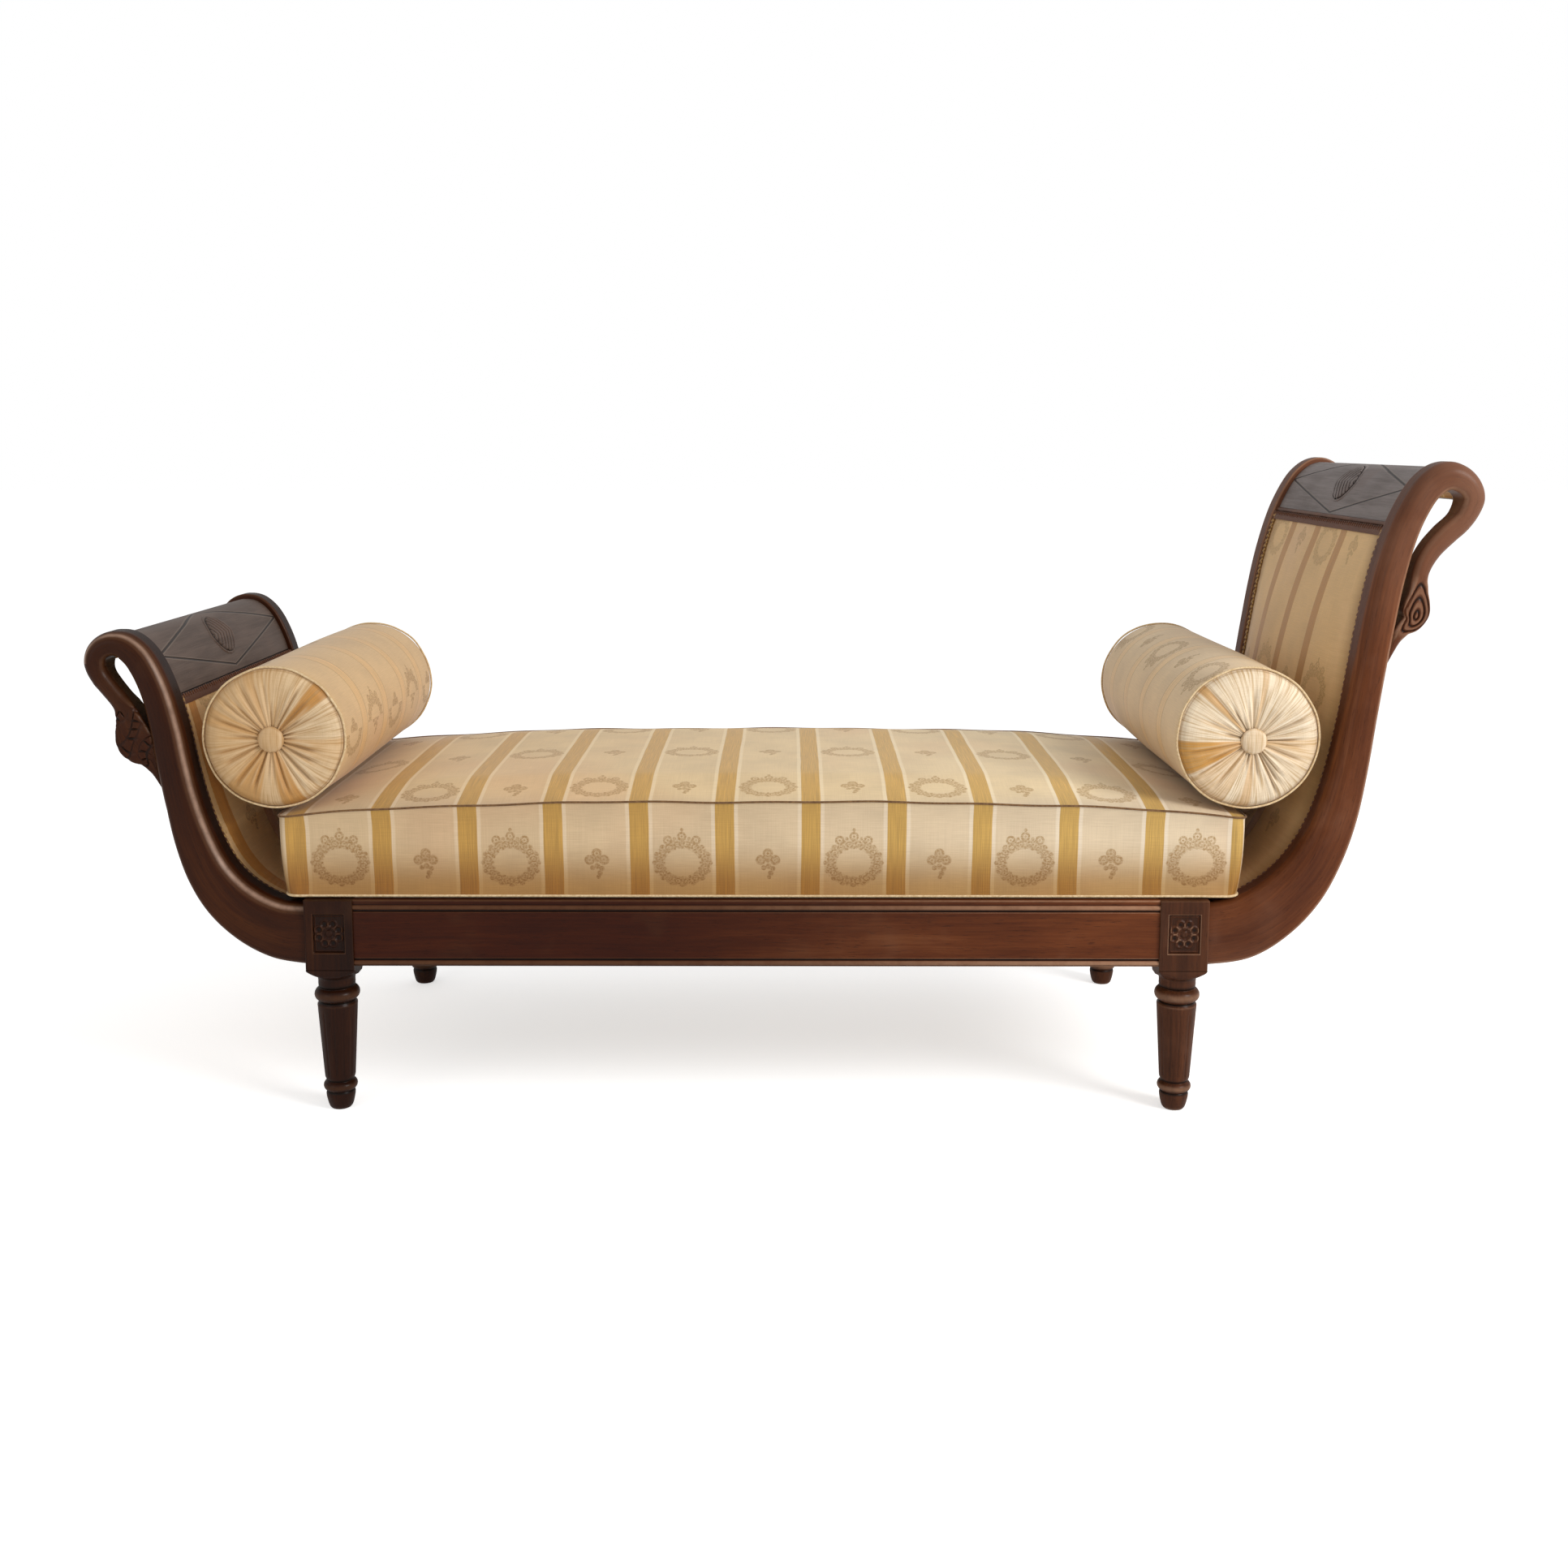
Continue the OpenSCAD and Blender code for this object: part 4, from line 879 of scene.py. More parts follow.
# How much fuller the carver left the wood: rows of the line, then metres.
# The first pair is for the side that looks at the seat, the second for the outer side.
FOOT_FULLER = (((12, 13, 15, 23, 26), (0, 0.002, 0.0055, 0.0050, 0.001)),
               ((6, 7.5, 10, 12), (0, 0.0045, 0.0045, 0)))
HEAD_FULLER = (((13, 15, 17, 19, 23, 27), (0, 0.003, 0.0045, 0.0035, 0, 0.002)),
               ((7, 9, 11, 14, 17, 19, 24, 27), (0, 0.0025, 0.0025, 0, 0, 0.0028, 0.0028, 0)))
foot = Scroll(foot_x, -1, foot_stile_shares, foot_neck_shares, 7, 0.331, 0.709, 0.784, FOOT_FULLER)
head = Scroll(head_x, 1, head_stile_shares, head_neck_shares, 8, 0.397, 0.945, 0.862, HEAD_FULLER)
ends = {"foot": foot, "head": head}
print(f"foot scroll runs {foot.run[-1]:.2f} m, head scroll {head.run[-1]:.2f} m")

# %% [markdown]
# A post is sawn out of a thick plank, so its section is a rectangle that follows the line. The
# maker rounds the arris beside the upholstery generously and eases the others with a scraper. A
# sharp edge catches no light, so these small rounds make the wood look like wood. A last step lets
# a rule press the show face in, which gives the crown of the posts and the carving of the necks.

# %% A section with eased arrises
ARRIS_POINTS = 7
SUPPORT = 0.0016


def rounded_section(half, near, far, radii, face_points, pressed, seat_wear=(0.0, 0.5)):
    """Points (across, y, wear) round a section. radii: seat and show face, outer and show face,
    outer and hidden face, seat and hidden face. pressed(share) gives how deep the show face is
    sunk at a share of its half width, and the wear there. seat_wear is the
    painted shade on the face that looks at the seat, and the painted highlight on the round beside it."""
    limit = 0.92 * min(half, (far - near) / 2)
    radii = [min(r, limit) for r in radii]
    corners = [(1, far, -1, 0), (-1, far, -1, 90), (-1, near, 1, 180), (1, near, 1, 270)]
    ring = []
    for (side, edge, inward, start), radius in zip(corners, radii):
        centre = (side * (half - radius), edge + inward * radius)
        room = min(SUPPORT, (limit - radius) * 0.5 + 0.0001)
        angles = np.linspace(0, 90, ARRIS_POINTS)
        turn = np.radians(start + angles)
        rub = np.sin(np.radians(2 * angles))
        # On the round between the seat face and the show face, rub is a narrow painted highlight; on the
        # other rounds it is partly wear and partly painted highlight.
        rub = rub ** 4 * seat_wear[1] if start == 0 else rub * min(1.0, 0.006 / radius)
        # The points that start and end the face towards the seat carry its painted shade.
        before_shade, after_shade = (seat_wear[0] if start == at else 0.0 for at in (0, 270))
        points = [(centre[0] + radius * math.cos(t), centre[1] + radius * math.sin(t), r)
                  for t, r in zip(turn, rub)]
        (ax, ay, _), (bx, by, _) = points[0], points[-1]
        before = (ax + math.sin(turn[0]) * room, ay - math.cos(turn[0]) * room, before_shade)
        after = (bx - math.sin(turn[-1]) * room, by + math.cos(turn[-1]) * room, after_shade)
        ring += [before] + points + [after]
        if start in (0, 180):
            target = -side * (half - radii[1 if start == 0 else 3] - SUPPORT * 0.5)
            count = face_points if start == 0 else 6
            ring += [(after[0] + (target - after[0]) * k / (count + 1), edge, 0.0)
                     for k in range(1, count + 1)]
    made = []
    for across, y, wear in ring:
        shown = max(0.0, 2 * (y - near) / (far - near) - 1)
        sunk, mark = pressed(across / half)
        made.append((across, y - sunk * shown, wear + mark * shown))
    return made


def crowned(share):
    """The show face falls away towards both edges."""
    return 0.0034 * abs(share) ** 3, 0.0


print("points on one eased arris:", ARRIS_POINTS)

# %% The stiles
STILE_ARRISES = (0.0215, 0.0070, 0.0020, 0.0035)
# Painted shade on the face that looks at the seat, then the painted highlight on its round: bright at the
# foot end, which faces the window lamp, and dull at the head end, which faces away from it.
SEAT_SHADE_AND_HIGHLIGHT = {"foot": (-0.60, 1.9), "head": (-0.40, 0.3)}


def swept(name, scroll, first, last, section, front):
    """A piece of wood that follows the scroll line between two stations."""
    points, wear, grain = [], [], []
    for i in range(first, last + 1):
        for across, y, worn_and_lit in section(i):
            points.append(scroll.at(i, across, -y if front else y))
            wear.append(worn_and_lit)
            grain.append((scroll.run[i], across + scroll.side * 0.7, y + (0.35 if front else 0.0)))
    rows = last + 1 - first
    return closed_piece(name, points, capped_faces(rows, len(points) // rows), carved_wood,
                        wear=wear, grain=grain)


def sweep_pair(kind, end, first, last, section):
    """The front and the rear piece of one kind at one end."""
    for row in ("front", "rear"):
        node = f"{kind}_{row}_{end}"
        wood = swept(node + "_wood", ends[end], first, last, section, row == "front")
        place_piece(wood, "frame", "mahogany", node)
        print(wood.name, len(wood.data.polygons), "faces")


def stile_section(end, scroll):
    def section(i):
        return rounded_section(scroll.line[i, 2] / 2, stile_inner, rail_face, STILE_ARRISES, 10, crowned,
                               SEAT_SHADE_AND_HIGHLIGHT[end])
    return section


for end, scroll in ends.items():
    sweep_pair("stile", end, 0, scroll.joint, stile_section(end, scroll))

# %% [markdown]
# The swan neck grows out of the roll with the same section and then rounds off. Its head is carved
# in low relief and narrows to a beak that lies along the post. The head end shows tear drops, one
# inside another, point upwards. The foot end shows slanting cuts that leave scales. Each pattern
# is one short rule that says how deep the groove is at a place.

# %% The rules of the carving
NECK_ARRISES = (0.0100, 0.0105, 0.0090, 0.0085)
HEAD_ARRISES = (0.0040, 0.0050, 0.0060, 0.0060)
CARVING_DEPTH = 0.0024
NECK_POINTS = 38
HEAD_ROW = {"foot": 6.8, "head": 7.9}
HEAD_ROWS = {"foot": 2.5, "head": 2.3}
# The carved ridges are lighter, partly wear and partly painted highlight, more at the head end, which faces
# the window lamp.
RIDGE_WEAR_AND_LIGHT = {"foot": 0.15, "head": 0.6}


def between(value, low, high):
    """0 below low, 1 above high, and a smooth rise from one to the other."""
    share = max(0.0, min(1.0, (value - low) / (high - low)))
    return share * share * (3 - 2 * share)


def tear_drops(share, up):
    """Three nested drops: how deep the groove is here."""
    angle = math.atan2(share, up + 0.20)
    outline = 0.80 + 0.55 * (0.5 + 0.5 * math.cos(angle)) ** 6
    reach = math.hypot(share * 0.86, up + 0.20) / outline
    wave = 0.5 + 0.5 * math.cos(2 * math.pi * (reach * 2.6 + 0.5))
    return wave ** 2.6 * between(1.25 - reach, 0.0, 0.12) * between(reach, 0.05, 0.12)


def scales(share, up):
    """Two families of slanting cuts that leave diamond scales."""
    up, share = up + 0.09 * math.sin(4.1 * share + 2 * up), share + 0.13 * math.sin(5.3 * up + 1)
    cuts = [abs((up * 2.3 + side * share * 1.15) % 1 - 0.5) * 2 for side in (-1, 1)]
    depth = 0.6 + 0.4 * math.sin(6.5 * up + 3.7 * share)
    return depth * between(max(cuts), 0.55, 1.0) * between(1.15 - abs(up), 0.0, 0.15)


CARVINGS = {"foot": scales, "head": tear_drops}
print("carvings:", [rule.__name__ for rule in CARVINGS.values()])


# %% The swan necks
def neck_section(end, scroll):
    def section(i):
        row = (i - scroll.joint) / FINE_STEPS
        rows = (len(scroll.line) - 1 - scroll.joint) / FINE_STEPS
        up = (HEAD_ROW[end] - row) / HEAD_ROWS[end]
        on_head = between(1.5 - abs(up), 0.0, 0.5)
        ease = min(1.0, row / 1.5)
        radii = [a + (b - a) * ease + (c - b) * on_head
                 for a, b, c in zip(STILE_ARRISES, NECK_ARRISES, HEAD_ARRISES)]
        thinned = 0.12 * min(1.0, row / 3) + 0.45 * max(0.0, row / rows - 0.72) / 0.28
        thin = 0.5 * (rail_face - stile_inner) * thinned

        def pressed(share):
            groove = CARVINGS[end](share, up) if on_head > 0 else 0.0
            sunk = crowned(share)[0] * (1 - 0.6 * on_head) + CARVING_DEPTH * groove
            return sunk, RIDGE_WEAR_AND_LIGHT[end] * on_head * (1 - groove) ** 2 - groove
        return rounded_section(scroll.line[i, 2] / 2, stile_inner + thin, rail_face - thin, radii,
                               NECK_POINTS, pressed)
    return section


for end, scroll in ends.items():
    sweep_pair("swan", end, scroll.joint, len(scroll.line) - 1, neck_section(end, scroll))

# %% [markdown]
# The seat rails are run with one moulding plane: a bead above and below, each with a sunk line
# beside it. A moulding is the same section all along, so the piece is that section drawn once and
# carried from leg to leg. The section's wear is highest on the beads, partly wear and
# partly painted highlight, and lowest in the lines.

# %% The seat rails
bead = 0.0035
quirk_width, quirk_depth = 0.003, 0.002
upper_bead_z = rail_top - 0.011
lower_bead_z = rail_bottom + bead + quirk_width / 2
rail_inner = rail_face - 0.028
rebate = 0.014


def rail_moulding():
    """Points (y, z, wear) round the section of the rear rail."""
    soft = 0.0012
    top = rail_top
    ring = [(rail_face - 0.004, top, 0.2), (rail_face - soft, top - 0.0001, 0.7),
            (rail_face, top - soft, 0.7)]
    for centre, above, below in ((upper_bead_z, 0.0, quirk_width), (lower_bead_z, quirk_width, 0.0)):
        if above:
            ring += sunk_line(centre + bead + above, centre + bead)
        ring.append((rail_face - 0.0010, centre + bead + 0.0002, -0.7))
        arcs = arc(rail_face - bead / 2, centre, bead, 72, -72, 9)
        ring += [(y, z, 0.35 + 0.65 * math.cos((k - 4) / 4 * 1.3)) for k, (y, z) in enumerate(arcs)]
        ring.append((rail_face - 0.0010, centre - bead - 0.0002, -0.7))
        if below:
            ring += sunk_line(centre - bead, centre - bead - below)
    ring += [(rail_face, rail_bottom + soft, 0.8), (rail_face - soft, rail_bottom, 0.8),
             (rail_face - 0.006, rail_bottom, 0.0), (rail_inner, rail_bottom, 0.4),
             (rail_inner, top - rebate, 0.4), (rail_inner + rebate, top - rebate, -0.5),
             (rail_inner + rebate, top, 0.3)]
    return ring


def sunk_line(top, bottom):
    """The square sunk line between two levels."""
    deep = rail_face - quirk_depth
    return [(rail_face, top + 0.0025, 0.0), (rail_face, top + 0.0004, 0.7), (rail_face - 0.0004, top, 0.3),
            (deep, top - 0.0003, -1.0), (deep, bottom + 0.0003, -1.0), (rail_face - 0.0004, bottom, 0.3),
            (rail_face, bottom - 0.0004, 0.7), (rail_face, bottom - 0.0025, 0.0)]


def seat_rail(name, front):
    section = rail_moulding()
    stations = np.linspace(foot_x + block / 2, head_x - block / 2, 41)
    points = [(x, -y if front else y, z) for x in stations for y, z, _ in section]
    wear = [w for _ in stations for _, _, w in section]
    return closed_piece(name, points, capped_faces(len(stations), len(section)), rail_wood, 34, wear=wear)


for row in ("front", "rear"):
    node = f"seat_rail_{row}"
    rail = seat_rail(node + "_wood", row == "front")
    place_piece(rail, "frame", "mahogany", node)
print("two seat rails, run", f"{head_x - foot_x - block:.3f} m each")

# %% [markdown]
# A turned leg is the best case for Geometry Nodes: one outline, spun round, with flutes that
# repeat. The tree takes the outline as a line of points, lays a grid with one row for each point
# and one column for each step round, and moves every grid point to its place. It cuts the flutes
# by shrinking the radius along evenly spaced lines. The block above is square, so the radius never
# passes the flat sides: that gives the curved shoulders which a turner gets under a square.

# %% Geometry Nodes: begin, finish and run a tree
def new_tree(name, inputs):
    """A Geometry Nodes tree with named inputs. Gives the tree, its board and a Wire for each input."""
    tree = bpy.data.node_groups.new(name, "GeometryNodeTree")
    tree.interface.new_socket("Geometry", in_out="INPUT", socket_type="NodeSocketGeometry")
    tree.interface.new_socket("Geometry", in_out="OUTPUT", socket_type="NodeSocketGeometry")
    for label, kind, value in inputs:
        socket = tree.interface.new_socket(label, in_out="INPUT", socket_type="NodeSocket" + kind)
        if value is not None:
            socket.default_value = value
    board = Board(tree)
    entry = tree.nodes.new("NodeGroupInput")
    return tree, board, {out.name: Wire(board, entry, k) for k, out in enumerate(entry.outputs) if out.name}


def finish_tree(board, geometry, material):
    """Every tree ends in real meshes with a material."""
    real = board.node("GeometryNodeRealizeInstances", Geometry=geometry)
    done = board.node("GeometryNodeSetMaterial", Geometry=real, Material=material)
    leave = board.tree.nodes.new("NodeGroupOutput")
    board.feed(leave.inputs[0], done)


def path_mesh(name, points, **named):
    """A bare line of points with attributes, for a tree to work on."""
    mesh = bpy.data.meshes.new(name)
    mesh.from_pydata(points, [(k, k + 1) for k in range(len(points) - 1)], [])
    keep(mesh, **named)
    return mesh


def grow(name, seed_mesh, tree, **values):
    """Runs a tree on a mesh and gives the result as a plain object."""
    seed = put(name + "_seed", seed_mesh)
    modifier = seed.modifiers.new("grow", "NODES")
    modifier.node_group = tree
    for item in tree.interface.items_tree:
        label = item.name.replace(" ", "_")
        if item.item_type == "SOCKET" and item.in_out == "INPUT" and label in values:
            modifier[item.identifier] = values[label]
    seed.update_tag()
    bpy.context.view_layer.update()
    mesh = finished_mesh(seed)
    mesh.name = name
    bpy.data.objects.remove(seed)
    return put(name, mesh)


print("a tree's inputs are set by their identifiers")


# %% Geometry Nodes: turn an outline
def turning_tree():
    tree, board, given = new_tree("turn an outline", [
        ("Steps Round", "Int", 144), ("Flutes", "Int", 12), ("Flute Radius", "Float", 0.0016),
        ("Flute Bottom", "Float", 0.05), ("Flute Top", "Float", 0.15), ("Square Half", "Float", 0.035),
        ("Wood", "Material", None)])
    size = board.node("GeometryNodeAttributeDomainSize", {"component": "MESH"}, "Point Count",
                      Geometry=given["Geometry"])
    grid = board.node("GeometryNodeMeshGrid", None, "Mesh", Size_X=1.0, Size_Y=1.0,
                      Vertices_X=given["Steps Round"] + 1, Vertices_Y=size)
    index = board.node("GeometryNodeInputIndex")
    station = board.math("FLOORED_MODULO", index, size)
    step = board.math("FLOOR", index / size)
    angle = step / given["Steps Round"] * (2 * math.pi)

    def sampled(kind, value):
        return board.node("GeometryNodeSampleIndex", {"data_type": kind, "domain": "POINT"},
                          Geometry=given["Geometry"], Value=value, Index=station)

    spot = sampled("FLOAT_VECTOR", board.node("GeometryNodeInputPosition"))
    radius, _, level = board.split(spot)
    stored = board.node("GeometryNodeInputNamedAttribute", {"data_type": "FLOAT"}, Name="wear")
    wear = sampled("FLOAT", stored)
    turn = board.math("FRACT", angle * given["Flutes"] / (2 * math.pi) + 0.5) - 0.5
    across = turn * (2 * math.pi) / given["Flutes"] * radius
    past_end = board.largest(given["Flute Bottom"] - level, level - given["Flute Top"], 0.0)
    off = across * across + past_end * past_end
    wide = given["Flute Radius"]
    cut = board.largest(board.math("SQRT", board.largest(wide * wide - off, 0.0)) - wide * 0.5, 0.0)
    cosine = board.largest(abs(board.math("COSINE", angle)), 0.0001)
    sine = board.largest(abs(board.math("SINE", angle)), 0.0001)
    flat = board.math("MINIMUM", given["Square Half"] / cosine, given["Square Half"] / sine)
    reach = board.math("MINIMUM", radius - cut, flat)
    place = board.combine(reach * board.math("COSINE", angle), reach * board.math("SINE", angle), level)
    turned = board.node("GeometryNodeSetPosition", Geometry=grid, Position=place)
    # The flute arrises are lightened, partly wear and partly painted highlight, and the flutes are darker
    # inside.
    arris = board.ramp(abs(off - wide * wide * 0.75), wide * wide * 0.45, 0.0)
    arris = arris * board.ramp(past_end, 0.002, 0.0)
    tone = wear + arris * 0.3 - cut / wide * 0.9
    turned = board.node("GeometryNodeStoreNamedAttribute", {"data_type": "FLOAT", "domain": "POINT"},
                        Geometry=turned, Name="wear", Value=tone)
    turned = board.node("GeometryNodeMergeByDistance", Geometry=turned, Distance=0.00001)
    turned = board.node("GeometryNodeSetShadeSmooth", Geometry=turned)
    finish_tree(board, turned, given["Wood"])
    return tree


turning = turning_tree()
print("turning tree:", len(turning.nodes), "nodes")

# %% [markdown]
# The outline runs from the shoulder under the block down to the toe. Each point gives a radius, a
# height and the wear there: bright on the crown of a ring, partly wear and partly painted
# highlight, and dark in the crease beside it.

# %% The leg's outline
block_low = rail_bottom - 0.006
bevel = 0.014
neck_radius, ring_radius, ring_level, ring_height = 0.030, 0.0325, 0.175, 0.020
shaft_top, shaft_low = 0.0285, 0.022
low_ring_radius, low_ring_level, low_ring_height = 0.0245, 0.035, 0.015
toe_radius = 0.0145


def ring_arc(radius, level, height, count=11):
    half = height / 2
    points = arc(radius - half, level, half, 84, -84, count)
    return [(r, z, 0.75 * math.cos((k - (count - 1) / 2) / count * 3.6) ** 3)
            for k, (r, z) in enumerate(points)]


def leg_outline():
    outline = [(0.0504, block_low, 0.3), (0.0470, block_low - 0.0032, 0.3),
               (0.0420, block_low - 0.0072, 0.2), (0.0365, block_low - 0.0108, 0.1),
               (0.0320, block_low - 0.0131, 0.2), (neck_radius, block_low - bevel, 0.6),
               (0.0283, block_low - bevel - 0.0010, -0.6), (0.0268, block_low - bevel - 0.0045, -0.2),
               (0.0264, block_low - bevel - 0.0085, -0.1), (0.0266, block_low - bevel - 0.0125, -0.3),
               (0.0262, ring_level + ring_height / 2 + 0.0012, -1.0)]
    outline += ring_arc(ring_radius, ring_level, ring_height)
    under_ring = ring_level - ring_height / 2
    outline += [(0.0258, under_ring - 0.0004, -1.0), (0.0262, under_ring - 0.0020, -0.8),
                (0.0286, 0.1605, 0.5), (0.0288, 0.1585, 0.4), (shaft_top, 0.1555, 0.0)]
    for share in np.linspace(0.02, 0.98, 44):
        outline.append((shaft_top + (shaft_low - shaft_top) * share, 0.155 - 0.105 * share, 0.0))
    outline += [(0.0219, 0.0492, 0.2), (0.0214, 0.0475, -0.2), (0.0204, 0.0452, -0.7),
                (0.0202, 0.0436, -1.0)]
    outline += ring_arc(low_ring_radius, low_ring_level, low_ring_height, 9)
    outline += [(0.0202, 0.0266, -1.0), (0.0206, 0.0250, -0.6), (0.0211, 0.0225, 0.0),
                (0.0206, 0.0180, 0.0), (0.0194, 0.0120, 0.0), (0.0180, 0.0065, 0.1),
                (0.0166, 0.0028, 0.5), (toe_radius, 0.0003, 0.6), (toe_radius * 0.7, 0.0, 0.2),
                (0.0002, 0.0, 0.0)]
    return outline


outline = leg_outline()
print("points in the leg's outline:", len(outline))

# %% [markdown]
# Each front block carries a sunk panel with a rosette: a ring of eight hollow lobes round a boss.
# The rosette is a height over a fine grid. Each lobe is a ridge at a fixed distance from its own
# centre, as a round gouge leaves it. The block is one closed skin: the grid in front, the eased
# arris round it, and the sides running back.

# %% The carved face of a block
panel_half_width, panel_half_height, panel_depth = 0.023, 0.029, 0.0025
lobe_count, lobe_circle, lobe_radius = 8, 0.0152, 0.0080
block_centre_z = rail_bottom + rail_height / 2
block_eased = 0.0018


def block_relief(x, z):
    """Height of the carved face over the block's face, and its wear."""
    inner = np.minimum(panel_half_width - np.abs(x), panel_half_height - np.abs(z))
    sunk = np.clip(inner / 0.0012, 0, 1)
    height = -panel_depth * sunk
    wear = np.where(np.abs(inner) < 0.0009, 0.9 - 1.8 * sunk, 0.0) - 0.5 * (sunk > 0.9)
    fillet = np.exp(-((inner - 0.0034) / 0.0008) ** 2)
    height += 0.0011 * fillet
    wear += 0.75 * fillet
    reach, angle = np.hypot(x, z), np.arctan2(z, x)
    for k in range(lobe_count):
        turn = 2 * math.pi * (k + 0.5) / lobe_count
        off = np.hypot(x - lobe_circle * math.cos(turn), z - lobe_circle * math.sin(turn))
        lobe = np.exp(-((off - lobe_radius * 0.66) / 0.0015) ** 2)
        height += 0.0020 * lobe
        wear += 0.8 * lobe - 0.5 * np.exp(-(off / 0.0020) ** 2)
    petal = np.clip(1 - ((reach - 0.0085) / 0.0035) ** 2, 0, 1) * np.abs(np.cos(angle * lobe_count / 2))
    boss = np.sqrt(np.clip(1 - (reach / 0.0052) ** 2, 0, 1))
    height += 0.0012 * petal + 0.0026 * boss - 0.0012 * np.exp(-(reach / 0.0014) ** 2)
    wear += 0.7 * petal + 0.8 * (boss > 0.2)
    return np.minimum(height, 0.0002), np.clip(wear, -1, 1)


print("lobes in the rosette:", lobe_count)


# %% The legs and their blocks
def leg_block(name, carved):
    """The block of the rear head leg, with its moulded face to the rear, centred on x = 0."""
    low, high = block_low, rail_top
    step = 0.0008 if carved else 0.006
    half = block / 2 - block_eased
    xs = np.linspace(-half, half, int(2 * half / step) + 1)
    zs = np.linspace(low + block_eased, high - block_eased, int((high - low) / step) + 1)
    gx, gz = np.meshgrid(xs, zs)
    height, wear = block_relief(gx, gz - block_centre_z) if carved else (0 * gx, 0 * gx)
    face_y = leg_y + block / 2
    rows, columns = gx.shape
    points = np.stack([gx.ravel(), (face_y + height).ravel(), gz.ravel()], 1).tolist()
    wear = wear.ravel().tolist()
    faces = lattice_faces(rows, columns, False)
    edge = [i * columns + j for i, j in grid_edge(rows, columns)]
    middle = (low + high) / 2
    loop = [points[k] for k in edge]
    hair = 1e-6
    outs = [(round(x / half) if abs(abs(x) - half) < hair else 0,
             (1 if z > middle else -1) if min(abs(z - zs[0]), abs(z - zs[-1])) < hair else 0)
            for x, _, z in loop]
    layers = [(block_eased * math.sin(t), block_eased * (1 - math.cos(t)), 0.4)
              for t in (0.4, 0.8, 1.2, math.pi / 2)]
    layers += [(block_eased, 0.004, 0.0), (block_eased, block / 2, 0.0), (block_eased, block - 0.004, 0.0),
               (block_eased, block - block_eased, 0.6), (block_eased * 0.3, block, 0.6)]
    previous = edge
    for out, back, worn_and_lit in layers:
        start = len(points)
        points += [(p[0] + o[0] * out, face_y - back, p[2] + o[1] * out) for p, o in zip(loop, outs)]
        wear += [worn_and_lit] * len(loop)
        current = list(range(start, start + len(loop)))
        faces += bridge(previous, current)
        previous = current
    faces.append(tuple(previous))
    return closed_piece(name, points, faces, turned_wood, 50, wear=wear)


for end, x in (("foot", foot_x), ("head", head_x)):
    for row, side in (("front", -1), ("rear", 1)):
        node = f"leg_{row}_{end}"
        line = path_mesh(node, [(r, 0, z) for r, z, _ in outline], wear=[w for _, _, w in outline])
        turned = grow(node + "_turned", line, turning, Wood=turned_wood, Square_Half=block / 2,
                      Flute_Bottom=0.0545, Flute_Top=0.1495)
        square = leg_block(node + "_block", row == "front")
        for part, back in ((turned, leg_y), (square, 0.0)):
            set_spots(part, (spots_of(part) + (x, back, 0)) * (1, side, 1))
        leg = turn_outward(join(node + "_wood", [turned, square]))
        place_piece(leg, "frame", "mahogany", node)
        print(leg.name, len(leg.data.polygons), "faces")

# %% [markdown]
# A crest is a bent plank between the posts. Its face is a lattice across the couch and up the
# scroll. The lozenge is in its finish, and its lower edge is a dark double bead that hides where
# the padding is tacked.

# %% The crest boards
crest_recess, crest_thick = 0.008, 0.018
CREST_COLUMNS = 61
CREST_SHADOW = 0.003
LOZENGE_MIDDLE, LOZENGE_HALF = 0.057, 0.0485
BEAD_LEVEL = {"foot": -0.0080, "head": -0.0005}


def crest_board(name, scroll):
    rows = list(range(scroll.crest_low, scroll.joint + 1))
    low = scroll.run[rows[0]]
    ys = np.linspace(-stile_inner, stile_inner, CREST_COLUMNS)
    points, wear, grain, place = [], [], [], []
    for shown, _, i, y in slab_places(rows, ys):
        sunk = crest_recess if shown else crest_recess + crest_thick
        points.append(scroll.inside(i, sunk, y))
        grain.append((y, scroll.run[i], sunk))
        place.append((y / stile_inner, (scroll.run[i] - low - LOZENGE_MIDDLE) / LOZENGE_HALF, 0))
        wear.append(-0.55 if shown and stile_inner - abs(y) < CREST_SHADOW else 0.0)
    return closed_piece(name, points, slab_faces(len(rows), CREST_COLUMNS), bleached_wood,
                        wear=wear, grain=grain, place=place)


print(f"crests {crest_thick:.3f} m thick, let in by {crest_recess:.3f} m")


# %% The double bead
def bead_section(level):
    """Two round beads with a crease between them, as (along, out of the face, wear)."""
    ring = [(level + 0.0072, -0.0040, -0.7), (level + 0.0072, -0.0006, -0.9)]
    for centre, radius in ((level + 0.0032, 0.0038), (level - 0.0038, 0.0034)):
        ring += [(s, h, 0.55 * math.sin(math.acos(max(-1, min(1, (s - centre) / radius)))) - 0.8)
                 for s, h in arc(centre, -0.0004, radius, 12, 168, 9)]
        ring.append((centre - radius, -0.0014, -1.0))
    return ring + [(level - 0.0076, -0.0120, 0.0), (level + 0.0072, -0.0120, 0.0)]


